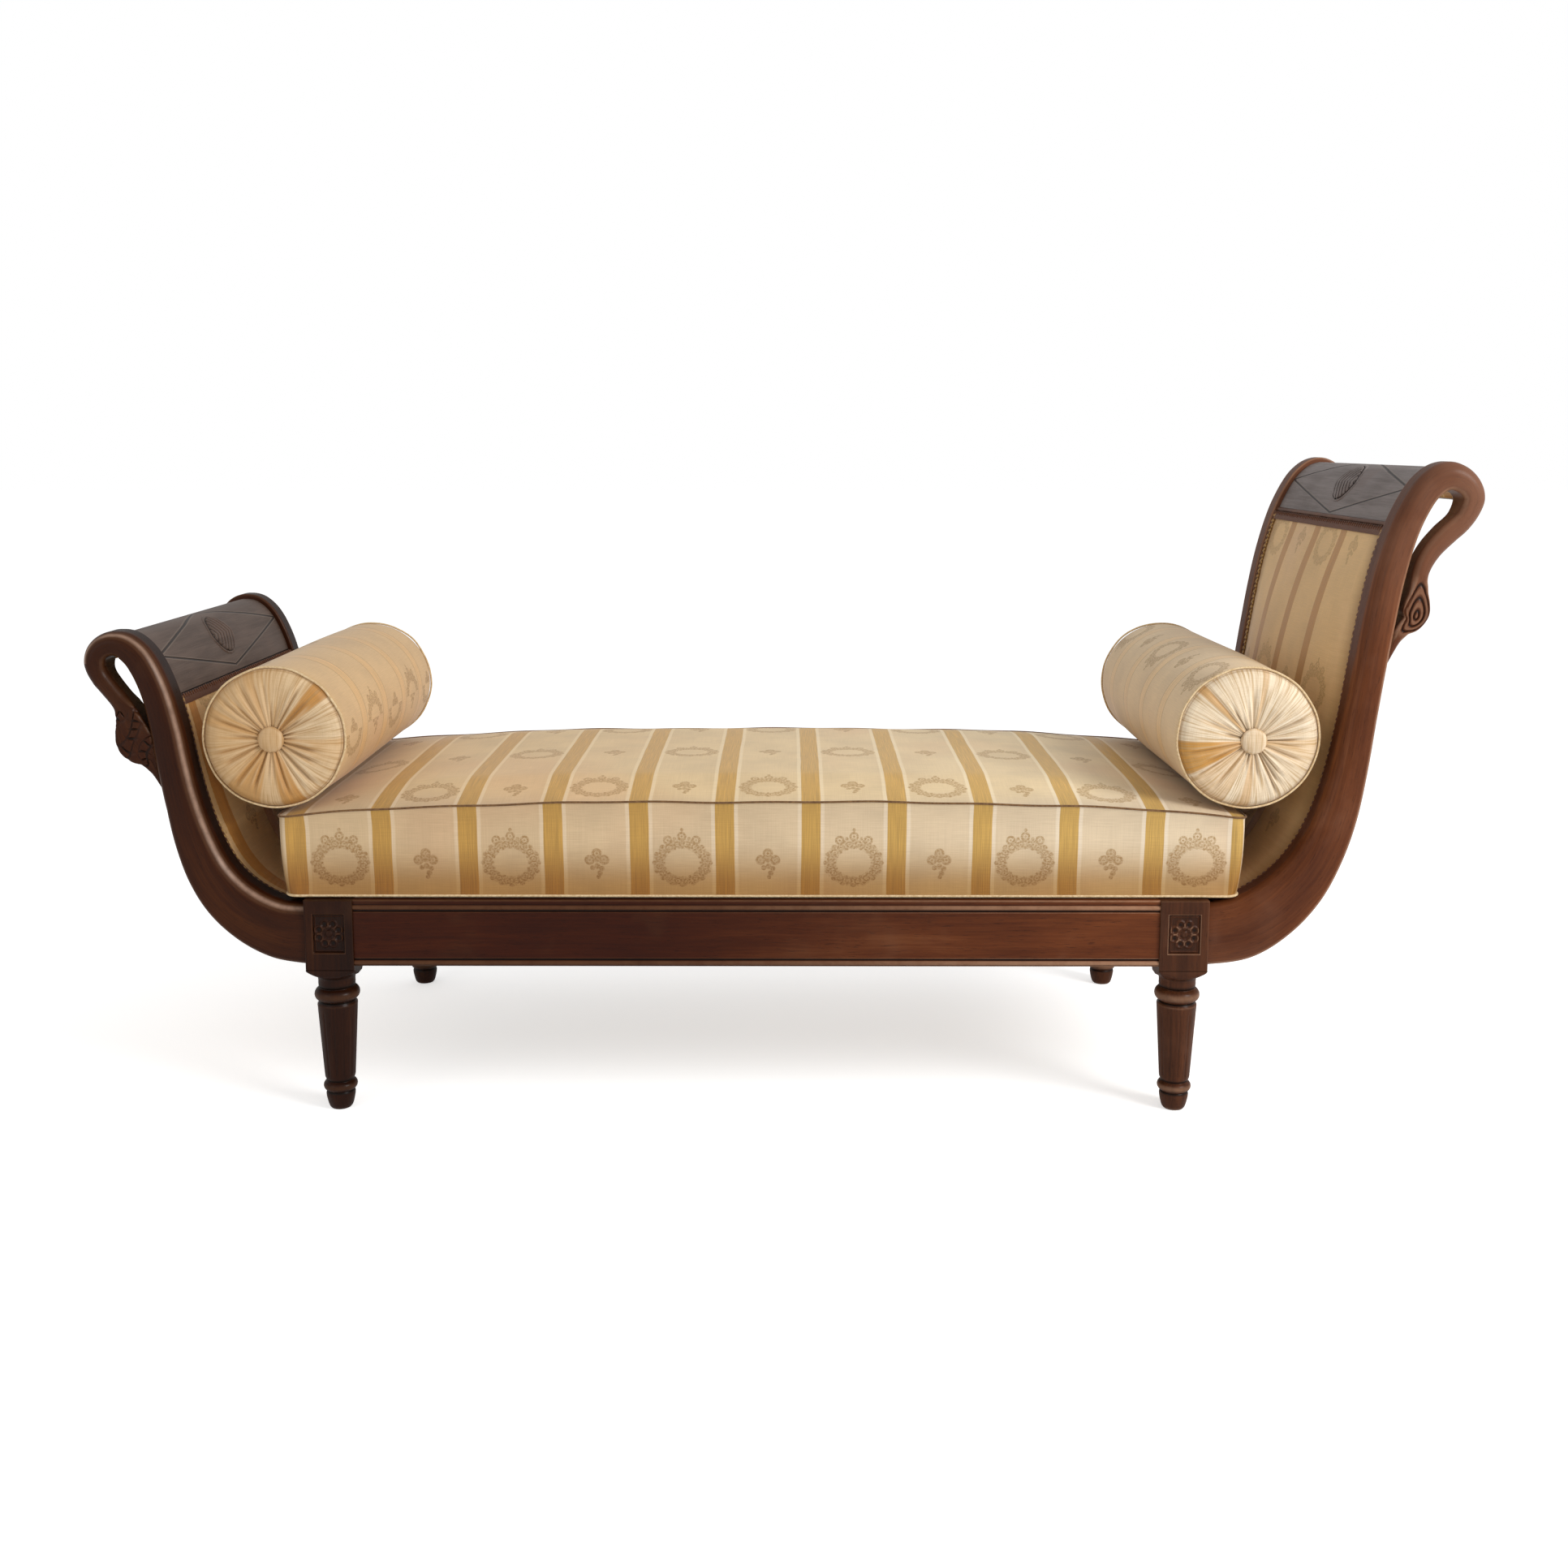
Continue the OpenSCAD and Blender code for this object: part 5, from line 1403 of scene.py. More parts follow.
def crest_moulding(name, end, scroll):
    """The double bead along the crest's lower edge."""
    i = scroll.crest_low
    base = scroll.run[i]
    section = bead_section(BEAD_LEVEL[end])
    ys = np.linspace(-stile_inner, stile_inner, 33)
    origin = np.array(scroll.inside(i, crest_recess, 0))
    steps = [np.subtract(scroll.inside(i + 1, 0, 0), scroll.inside(i - 1, 0, 0)),
             scroll.inside(i, crest_recess + 0.01, 0) - origin]
    along, inward = unit_rows(np.array(steps))
    points = [origin + along * s - inward * h + np.array([0, y, 0]) for y in ys for s, h, _ in section]
    wear = [w for _ in ys for _, _, w in section]
    grain = [(y, base + s, h) for y in ys for s, h, _ in section]
    return closed_piece(name, points, capped_faces(len(ys), len(section)), turned_wood,
                        wear=wear, grain=grain)


print("points round the double bead:", len(bead_section(0.0)))

# %% The pateras
PATERA_ACROSS, PATERA_UP, PATERA_MIDDLE = 0.050, 0.034, 0.0585


def patera(name, scroll):
    """A pointed oval boss: a rim, a middle rib and two rows of leaves that slant off the rib."""
    centre = scroll.run[scroll.crest_low] + PATERA_MIDDLE
    bow = (PATERA_ACROSS ** 2 + PATERA_UP ** 2) / (2 * PATERA_UP)
    rings, steps = 34, 150
    points, wear, grain = [], [], []
    for k in range(rings + 1):
        share = k / rings
        for turn in np.arange(steps) / steps * 2 * math.pi:
            y = PATERA_ACROSS * math.cos(turn)
            reach = math.sqrt(bow * bow - y * y) - (bow - PATERA_UP)
            y, s = y * share, math.copysign(reach, math.sin(turn)) * share
            rim = math.exp(-((share - 0.93) / 0.05) ** 2)
            leaf = abs(math.sin(math.pi * (y + abs(s) * 0.9) / 0.0125)) ** 0.6
            field = between(0.88 - share, 0.0, 0.06)
            groove = max(0.0, 1 - leaf * 1.5) * field
            groove = max(groove, math.exp(-((share - 0.85) / 0.022) ** 2))
            rise = 0.0022 * (1 - share ** 5) + 0.0006 * rim + field * 0.0016 * leaf - 0.0020 * groove
            worn_and_lit = 0.15 * rim + field * (0.6 * leaf - 0.45) - 1.1 * groove
            if k == rings:
                rise = -0.001
                worn_and_lit -= 0.6
            i = int(np.searchsorted(scroll.run, centre + s))
            points.append(scroll.inside(min(i, scroll.joint), crest_recess - rise, y))
            wear.append(max(-1.0, min(1.0, worn_and_lit)))
            grain.append((y, centre + s, 0.3))
    piece = add_mesh(name, points, lattice_faces(rings + 1, steps), bleached_carving, 60)
    keep(piece.data, wear=wear, grain=grain)
    return piece


for end, scroll in ends.items():
    node = f"crest_{end}"
    place_piece(crest_board(node + "_board", scroll), "frame", "crest_wood", node)
    place_piece(crest_moulding(node + "_moulding", end, scroll), "frame", "mahogany", node)
    place_piece(patera(node + "_patera", scroll), "frame", "crest_wood", node)
print("crests, their beads and pateras")

# %% [markdown]
# The end pads are stuffed and pulled tight between the posts, so they crown towards the middle and
# flatten at the tacked edge. Each is a crowned face with a flat back behind it. The place on the
# cloth is the distance across and the run up the scroll, so the stripes bend with the pad as real
# cloth does. A few shallow hollows pull in from the tacked edges.

# %% The end pads
pad_recess, pad_thick, pad_crown = 0.0055, 0.015, 0.020
fine_gap = 0.0003
gimp_width = 0.011
PAD_COLUMNS = 73
PAD_START = 2
PAD_STRIPE_AT_Y = 0.0185
EDGE_CROWDING = 1.35
KNOT_STEP = 0.0090


def pad_rows(scroll):
    """The stations of the scroll line that a pad and its braid cover."""
    return list(range(PAD_START, scroll.crest_low - 1))


def pad_puff(across, up):
    return pad_crown * (1 - min(1, abs(across)) ** 3) * math.sin(math.pi * min(1, up) ** 1.5) ** 1.3


def end_pad(name, scroll, silk):
    rows = pad_rows(scroll)
    half = stile_inner - fine_gap
    tacked = 1 - (gimp_width + 2 * fine_gap) / stile_inner
    shares = np.sin(np.linspace(-1, 1, PAD_COLUMNS) * EDGE_CROWDING) / math.sin(EDGE_CROWDING)
    points, cloth = [], []
    for shown, up, i, share in slab_places(rows, shares):
        sunk = pad_recess + pad_thick
        if shown:
            near_edge = abs(share) ** 6 * (1 - abs(share) ** 20)
            pull = 0.0010 * math.sin(i * 0.55 + 2 * math.sin(i * 0.13)) * near_edge
            sunk = pad_recess - pad_puff(share / tacked, up * 1.03) * 0.97 + abs(pull)
        points.append(scroll.inside(i, sunk, share * half))
        cloth.append((share * half - PAD_STRIPE_AT_Y, scroll.run[i]))
    return closed_piece(name, points, slab_faces(len(rows), PAD_COLUMNS), silk, 50, cloth)


print(f"the pads crown by {pad_crown:.3f} m")

# %% The outside backs
BACK_SUNK, BACK_THICK = 0.003, 0.005


def back_panel(name, node, scroll):
    """The covered panel on the outside of a scroll end, the same height as its construction."""
    _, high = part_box(node)
    rows = [i for i in range(FINE_STEPS // COARSE_STEPS, scroll.joint)
            if scroll.at(i, -scroll.line[i, 2] / 2 + BACK_SUNK, 0)[2] <= high.z + 0.0005]
    stop = next((k for k in range(1, len(rows)) if rows[k] != rows[k - 1] + 1), len(rows))
    rows = rows[:stop]
    ys = np.linspace(-stile_inner, stile_inner, 41)
    points, cloth = [], []
    for shown, _, i, y in slab_places(rows, ys):
        sunk = BACK_SUNK - 0.0012 * (1 - (y / stile_inner) ** 4) if shown else BACK_SUNK + BACK_THICK
        points.append(scroll.at(i, -scroll.line[i, 2] / 2 + sunk, y))
        cloth.append((y, scroll.run[i]))
    return closed_piece(name, points, slab_faces(len(rows), len(ys)), back_silk, 50, cloth)


for end, scroll in ends.items():
    # The foot pad takes the lighter copy of the silk, painted light, and the head pad the darker copy,
    # painted shade.
    silk = lit_foot_pad_silk if end == "foot" else shaded_head_pad_silk
    pad = end_pad(f"end_pad_{end}_silk", scroll, silk)
    place_piece(pad, "frame", "striped_silk", f"end_pad_{end}")
    back = back_panel(f"back_panel_{end}_cover", f"back_panel_{end}", scroll)
    place_piece(back, "frame", "striped_silk", f"back_panel_{end}")
    print(pad.name, len(pad.data.polygons), "faces; back", len(back.data.polygons))

# %% [markdown]
# The tacked edge is covered by a braid: a flat ribbon with a row of hard little knots. The knots
# are all alike and follow a path, so Geometry Nodes lay them: the path becomes a curve, the curve
# is cut into equal steps, and one small knot is set on each step, turned to the path.

# %% Geometry Nodes: knots along a path
def knot_tree():
    tree, board, given = new_tree("knots along a path", [
        ("Step", "Float", KNOT_STEP), ("Knot Length", "Float", 0.0034), ("Knot Width", "Float", 0.0046),
        ("Knot Height", "Float", 0.0017), ("Seed", "Int", 4), ("Cloth", "Material", None)])
    path = board.node("GeometryNodeMeshToCurve", Mesh=given["Geometry"])
    path = board.node("GeometryNodeResampleCurve", {"mode": "LENGTH"}, Curve=path, Length=given["Step"])
    spots = board.node("GeometryNodeCurveToPoints", {"mode": "EVALUATED"}, Curve=path)
    up = board.node("GeometryNodeInputNamedAttribute", {"data_type": "FLOAT_VECTOR"}, Name="up")
    along = board.node("FunctionNodeAlignRotationToVector", {"axis": "X"}, Vector=spots["Tangent"])
    turn = board.node("FunctionNodeAlignRotationToVector", {"axis": "Z", "pivot_axis": "X"},
                      Rotation=along, Vector=up)
    knot = board.node("GeometryNodeMeshIcoSphere", None, "Mesh", Radius=1.0, Subdivisions=1)
    uneven = board.node("FunctionNodeRandomValue", {"data_type": "FLOAT"}, 1, Seed=given["Seed"])
    smallest, biggest = uneven.node.inputs[2:4]
    smallest.default_value, biggest.default_value = 0.85, 1.12
    size = board.combine(given["Knot Length"], given["Knot Width"], given["Knot Height"])
    size = board.vector("SCALE", size)
    board.feed(size.node.inputs["Scale"], uneven)
    laid = board.node("GeometryNodeInstanceOnPoints", Points=spots, Instance=knot,
                      Rotation=turn, Scale=size)
    finish_tree(board, board.node("GeometryNodeSetShadeSmooth", Geometry=laid), given["Cloth"])
    return tree


knots = knot_tree()
print("knot tree:", len(knots.nodes), "nodes")

# %% Braid round the end pads
gimp_thick = 0.002


def braid_path(scroll, off_edge):
    """Places and outward directions round the tacked edge of a pad: up the front, across, down the rear."""
    rows = pad_rows(scroll)
    half = stile_inner - fine_gap - off_edge
    route = [(i, -half) for i in rows] + [(rows[-1], y) for y in np.linspace(-half, half, 40)[1:-1]]
    route += [(i, half) for i in rows[::-1]]
    spots = [scroll.inside(i, pad_recess - fine_gap - gimp_thick * 0.7, y) for i, y in route]
    ups = [Vector(scroll.inside(i, 0, y)) - Vector(scroll.inside(i, 0.01, y)) for i, y in route]
    return spots, [u.normalized() for u in ups]


def braid_ribbon(name, scroll):
    """The flat ribbon under the knots, with a scalloped edge."""
    rows = pad_rows(scroll)
    parts = []
    section = [(-0.5, 0.0), (-0.5, 0.5), (-0.42, 0.95), (0.0, 1.0), (0.42, 0.95), (0.5, 0.5), (0.5, 0.0)]
    for side in (-1, 1):
        points = []
        for i in rows:
            wide = gimp_width * (1 + 0.16 * math.cos(2 * math.pi * scroll.run[i] / KNOT_STEP))
            for across, up in section:
                y = side * (stile_inner - fine_gap - gimp_width - (across - 0.5) * wide)
                points.append(scroll.inside(i, pad_recess - fine_gap - gimp_thick * up, y))
        parts.append(add_mesh(f"{name}_{side}", points, capped_faces(len(rows), len(section)), braid_cloth))
    top = rows[-1]
    top_step = scroll.run[top] - scroll.run[top - 1]
    ys = np.linspace(-stile_inner + fine_gap, stile_inner - fine_gap, 61)
    points = []
    for y in ys:
        for along, up in section:
            i = max(rows[0], top - int(round((along + 0.5) * gimp_width / top_step)))
            points.append(scroll.inside(i, pad_recess - fine_gap - gimp_thick * up * 0.9, y))
    parts.append(add_mesh(f"{name}_top", points, capped_faces(len(ys), len(section)), knot_cloth))
    return turn_outward(join(name, parts))


for end, scroll in ends.items():
    spots, ups = braid_path(scroll, gimp_width / 2)
    row = grow(f"gimp_{end}_knots", path_mesh("braid path " + end, spots, up=ups), knots, Cloth=knot_cloth)
    ribbon = braid_ribbon(f"gimp_{end}_ribbon", scroll)
    place_piece(ribbon, "frame", "trim", f"gimp_{end}")
    place_piece(row, "frame", "trim", f"gimp_{end}")
    print(row.name, len(row.data.polygons), "faces")

# %% [markdown]
# The seat cushion is sewn from a top and a bottom panel with a boxing between them, and a welt in
# each seam. The mesh is cut the same way: a grid with round corners for each panel, and the boxing
# hung from the edge of the top grid. The cloth simulation then fills it: the seams are held,
# pressure swells the panels, and the crown, the soft sides and the small waves come out of that.

# %% Sizes of the seat cushion
cushion_low, cushion_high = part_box("seat_cushion")
cushion_x = (cushion_low.x + cushion_high.x) / 2
seat_level = cushion_low.z
cushion_lean = 0.009
cushion_corner = 0.020
end_height, arch, crown, bulge = 0.119, 0.023, 0.019, 0.006
half_long = (cushion_high.x - cushion_low.x) / 2 + 0.005
half_deep = (cushion_high.y - cushion_low.y) / 2 - 0.002
CUSHION_STITCH = 0.0102
SEAM_IN = 0.0012
SEAM_HELD = 0.92
BOXING_ROWS = 13
STRIPE_AT_X = 0.0457
TOP_WREATH_Y = -0.250
BOXING_WREATH_Z = 0.374
print(f"cushion {2 * half_long:.3f} by {2 * half_deep:.3f} m")


# %% Cut the cushion's cover
def edge_height(x):
    return end_height + arch * (1 - min(1, abs(x) / half_long) ** 3)


def round_corner(x, y, hx, hy, radius):
    """Moves a point of a square grid so that the grid's corner becomes round."""
    a = (abs(x) - (hx - radius)) / radius
    b = (abs(y) - (hy - radius)) / radius
    if a <= 0 or b <= 0:
        return x, y
    return (math.copysign(hx - radius + radius * a * math.sqrt(1 - b * b / 2), x),
            math.copysign(hy - radius + radius * b * math.sqrt(1 - a * a / 2), y))


def cut_cushion(name):
    """The sewn cover before it is filled. Gives the piece and the point numbers of its two seams."""
    nx = 2 * round(half_long / CUSHION_STITCH) + 1
    ny = 2 * round(half_deep / CUSHION_STITCH) + 1
    xs, ys = np.linspace(-1, 1, nx), np.linspace(-1, 1, ny)
    edge = grid_edge(nx, ny)
    hx, hy = half_long - SEAM_IN, half_deep - SEAM_IN
    points, cloth, hold = [], [], []
    for panel in ("top", "bottom"):
        lean = 1 - cushion_lean / half_long if panel == "bottom" else 1.0
        for sx in xs:
            for sy in ys:
                x, y = round_corner(sx * hx, sy * hy, hx, hy, cushion_corner)
                fill = (1 - sx ** 4) * (1 - sy ** 4)
                if panel == "top":
                    ripple = 0.0008 * math.sin(17 * x + 3 * y) + 0.0006 * math.sin(41 * x + 1.3)
                    z = edge_height(x) - 0.002 + (crown - 0.006) * fill + ripple * (1 - fill)
                    cloth.append((cushion_x + x - STRIPE_AT_X, y - TOP_WREATH_Y + HALF_REPEAT))
                else:
                    z = 0.0012 * (1 - min(1.0, fill * 6))
                    cloth.append((cushion_x + x - STRIPE_AT_X, y + 0.1))
                points.append((cushion_x + x * lean, y, seat_level + z))
                hold.append(0.0 if panel == "top" else 1.0)
    faces = [(a, b, next_b, next_a) for a, next_a, next_b, b in lattice_faces(nx, ny, False)]
    faces += [tuple(nx * ny + k for k in face[::-1]) for face in faces]
    top_seam = [i * ny + j for i, j in edge]
    bottom_seam = [nx * ny + k for k in top_seam]
    for k in top_seam:
        hold[k] = SEAM_HELD
    rings = [top_seam]
    for row in range(1, BOXING_ROWS):
        share = row / BOXING_ROWS
        ring = []
        for a, b, (i, j) in zip(top_seam, bottom_seam, edge):
            p, q = Vector(points[a]), Vector(points[b])
            out = Vector([v if abs(v) > 0.97 else 0 for v in (xs[i], ys[j])] + [0]).normalized()
            swell = (0.003 + bulge * 0.45) * 4 * share * (1 - share) ** 0.8
            ring.append(len(points))
            points.append(tuple(p.lerp(q, share) + out * swell))
            hold.append(0.0)
            cloth.append((0, 0))
        rings.append(ring)
    rings.append(bottom_seam)
    count = len(top_seam)
    for upper, lower in zip(rings, rings[1:]):
        faces += bridge(upper, lower)
    piece = add_mesh(name, points, faces, cushion_silk, 70)
    layer = piece.data.uv_layers.new(name="cloth")
    boxing_start = 2 * (nx - 1) * (ny - 1)
    for polygon in piece.data.polygons:
        if polygon.index < boxing_start:
            for loop, vertex in zip(polygon.loop_indices, polygon.vertices):
                layer.data[loop].uv = cloth[vertex]
            continue
        row, k = divmod(polygon.index - boxing_start, count)
        (i, j), (_, next_j) = edge[k], edge[(k + 1) % count]
        spots = ((row, k), (row + 1, k), (row + 1, k + 1), (row, k + 1))
        for loop, (r, c) in zip(polygon.loop_indices, spots):
            x, _, z = points[rings[r][c % count]]
            seam_x, seam_y, _ = points[rings[0][c % count]]
            if j == next_j and j in (0, ny - 1):
                across = 0.6 * x + 0.4 * seam_x
            else:
                turn_x = half_long if i > nx // 2 else -half_long
                across = cushion_x + turn_x + math.copysign(seam_y + half_deep, turn_x)
            layer.data[loop].uv = (across - STRIPE_AT_X, z - BOXING_WREATH_Z)
    hold_group = piece.vertex_groups.new(name="held")
    for k, weight in enumerate(hold):
        if weight > 0:
            hold_group.add([k], weight, "REPLACE")
    return piece, top_seam, bottom_seam


print(f"the cover is {edge_height(0):.3f} m high in its middle, {edge_height(half_long):.3f} m at its ends")

# %% Fill a cushion with the cloth simulation
FILL_FRAMES = 20


def fill_by_simulation(piece, pressure, cap):
    """Swells a closed cover with Cloth pressure, holding its seams, and limits each point's travel."""
    before = spots_of(piece)
    cloth = piece.modifiers.new("fill", "CLOTH")
    settings = cloth.settings
    settings.quality = 4
    settings.mass = 0.25
    settings.tension_stiffness = settings.compression_stiffness = 18
    settings.shear_stiffness = 6
    settings.bending_stiffness = 0.4
    settings.use_pressure = True
    settings.uniform_pressure_force = pressure
    settings.effector_weights.gravity = 0
    settings.vertex_group_mass = "held"
    settings.pin_stiffness = 1.0
    cloth.collision_settings.use_collision = False
    cloth.point_cache.frame_start, cloth.point_cache.frame_end = 1, FILL_FRAMES
    scene = bpy.context.scene
    for number in range(1, FILL_FRAMES + 1):
        scene.frame_set(number)
    evaluated = piece.evaluated_get(bpy.context.evaluated_depsgraph_get())
    after = np.array([v.co for v in evaluated.data.vertices], float)
    piece.modifiers.remove(cloth)
    scene.frame_set(1)
    move = after - before
    length = np.linalg.norm(move, axis=1)
    move *= np.minimum(1, cap / np.maximum(length, 1e-9))[:, None]
    set_spots(piece, before + move)
    print(f"{piece.name} swelled by up to {1000 * length.max():.1f} mm, kept to {1000 * cap:.0f} mm")
    print("from", np.round((before + move).min(0), 4), "to", np.round((before + move).max(0), 4))


def subdivide(piece, levels=1):
    modifier = piece.modifiers.new("smooth", "SUBSURF")
    modifier.levels = modifier.render_levels = levels
    mesh = finished_mesh(piece)
    piece.modifiers.clear()
    piece.data = mesh


print("filling ready")

# %% The seat cushion
CUSHION_PRESSURE = 4.0
CUSHION_CAP = 0.009

cushion, upper_seam, lower_seam = cut_cushion("seat_cushion_silk")
fill_by_simulation(cushion, CUSHION_PRESSURE, CUSHION_CAP)
seam_lines = [spots_of(cushion)[seam] for seam in (upper_seam, lower_seam)]
subdivide(cushion)
turn_outward(cushion)
place_piece(cushion, "cushion", "striped_silk", "seat_cushion")
print(cushion.name, len(cushion.data.polygons), "faces")

# %% [markdown]
# A welt is a thin cord in its bias strip, sewn into a seam. Each one is a tube laid along the seam
# line of the filled cushion, so it follows every wave that the filling made.

# %% Welts round the cushion
WELT_ROUND = 10


def ahead_of(line):
    """The direction of travel at each point of a closed line."""
    return unit_rows(np.roll(line, -1, 0) - np.roll(line, 1, 0))


def tube(name, line, side, up, radius, material):
    """A tube round a closed line. Its round is drawn from side towards up."""
    turn = np.linspace(0, 2 * math.pi, WELT_ROUND, endpoint=False)[None, :, None]
    points = line[:, None] + radius * (side[:, None] * np.cos(turn) + up[:, None] * np.sin(turn))
    faces = lattice_faces(len(line), WELT_ROUND, True, True)
    return closed_piece(name, points, faces, material, 80)


for line, node, lift, radius, cover in zip(seam_lines, ("cushion_piping_top", "cushion_piping_bottom"),
                                           (0.0004, 0.0010), (0.0015, 0.0019), (seam_shadow_cloth, welt_cloth)):
    away = line - np.array([cushion_x, 0, 0])
    away[:, 2] = 0
    path = smooth_ring(line + unit_rows(away) * 0.0008 + np.array([0, 0, lift]))
    level = unit_rows(np.cross(ahead_of(path), (0, 0, 1.0)))
    welt = tube(node + "_welt", path, level, np.cross(level, ahead_of(path)), radius, cover)
    place_piece(welt, "cushion", "trim", node)
    print(welt.name, len(welt.data.polygons), "faces")

# %% [markdown]
# A round bolster is a tube gathered into the middle of each end under a covered button. Gathering
# leaves narrow creases that run out from the button by uneven lengths, with a soft ridge on each
# side, and here and there a gold stripe is folded in. So each crease gets its own angle, length,
# depth and width from a seeded shuffle, and the gold wedges are named by their angles.

# %% Sizes of the bolsters
FOLDS = 34
BOLSTER_ROUND = 300
TUBE_ROWS = 57
bolster_radius, bolster_half = 0.103, 0.286
tube_swell = 0.0020
button_radius = 0.019
END_OUT = 0.007
CREASE_DEPTH, RIDGE_HEIGHT = 0.0038, 0.0019
TAKEN_UP = 0.96
CORD_RADIUS = 0.0016
GATHER_ROWS = [0.10, 0.14, 0.18, 0.22, 0.26, 0.31, 0.36, 0.42, 0.48, 0.54, 0.60, 0.66, 0.72, 0.78,
               0.83, 0.88, 0.92, 0.95, 0.972, 0.99]
END_PROFILE = ([0.0, 0.17, 0.30, 0.55, 0.78, 0.92, 1.0], [0.5, 1.0, 1.3, 1.85, 1.9, 1.3, 0.0])
SEAM_ROW = 0.972
BOLSTER_STRIPE_START = 0.110
GATHER_OFF = {"foot": (-0.003, -0.002), "head": (0.007, -0.004)}
GILDED = {"foot": [(45, 8, 0.95), (110, 5, 0.4), (160, 8, 0.55), (241, 16, 0.85), (286, 10, 0.95)],
          "head": [(197, 15, 1.0), (232, 17, 0.35), (134, 4, 0.8), (267, 5, 0.5), (77, 3, 0.45)]}
print(f"bolsters {2 * bolster_half:.3f} m long and {2 * bolster_radius:.3f} m across")


# %% Creases and gold in a gathered end
def fold_lines(seed):
    """Angle, length, depth and width of each crease."""
    rng = np.random.default_rng(seed)
    steps = rng.uniform(0.35, 1.7, FOLDS)
    return (np.cumsum(steps) / steps.sum() * 2 * math.pi, rng.uniform(0.42, 1.05, FOLDS),
            rng.uniform(0.35, 1.0, FOLDS), rng.uniform(0.0016, 0.0032, FOLDS))


def gathered(share, angles, folds):
    """Creases and ridges on one ring of a gathered end, at a share of its radius."""
    places, lengths, depths, widths = folds
    away = (angles[:, None] - places[None] + math.pi) % (2 * math.pi) - math.pi
    away = np.abs(away) * share * bolster_radius
    widths = widths * (0.6 + 0.8 * share)
    fade = np.clip((lengths - share) / 0.22, 0, 1) * depths
    crease = (np.exp(-(away / widths) ** 2) * fade).max(1)
    ridge = (np.exp(-((away - 2.4 * widths) / (1.3 * widths)) ** 2) * fade).max(1)
    return crease, ridge * (1 - crease)


def gold_wedges(angles, wedges):
    """1 where a gold stripe was folded into the gathers."""
    gold = np.zeros(len(angles))
    for middle, half, strength in wedges:
        away = np.abs((np.degrees(angles) - middle + 180) % 360 - 180)
        gold = np.maximum(gold, strength * np.clip((half + 0.8 - away) / 1.6, 0, 1))
    return gold


print("creases in each end:", FOLDS)


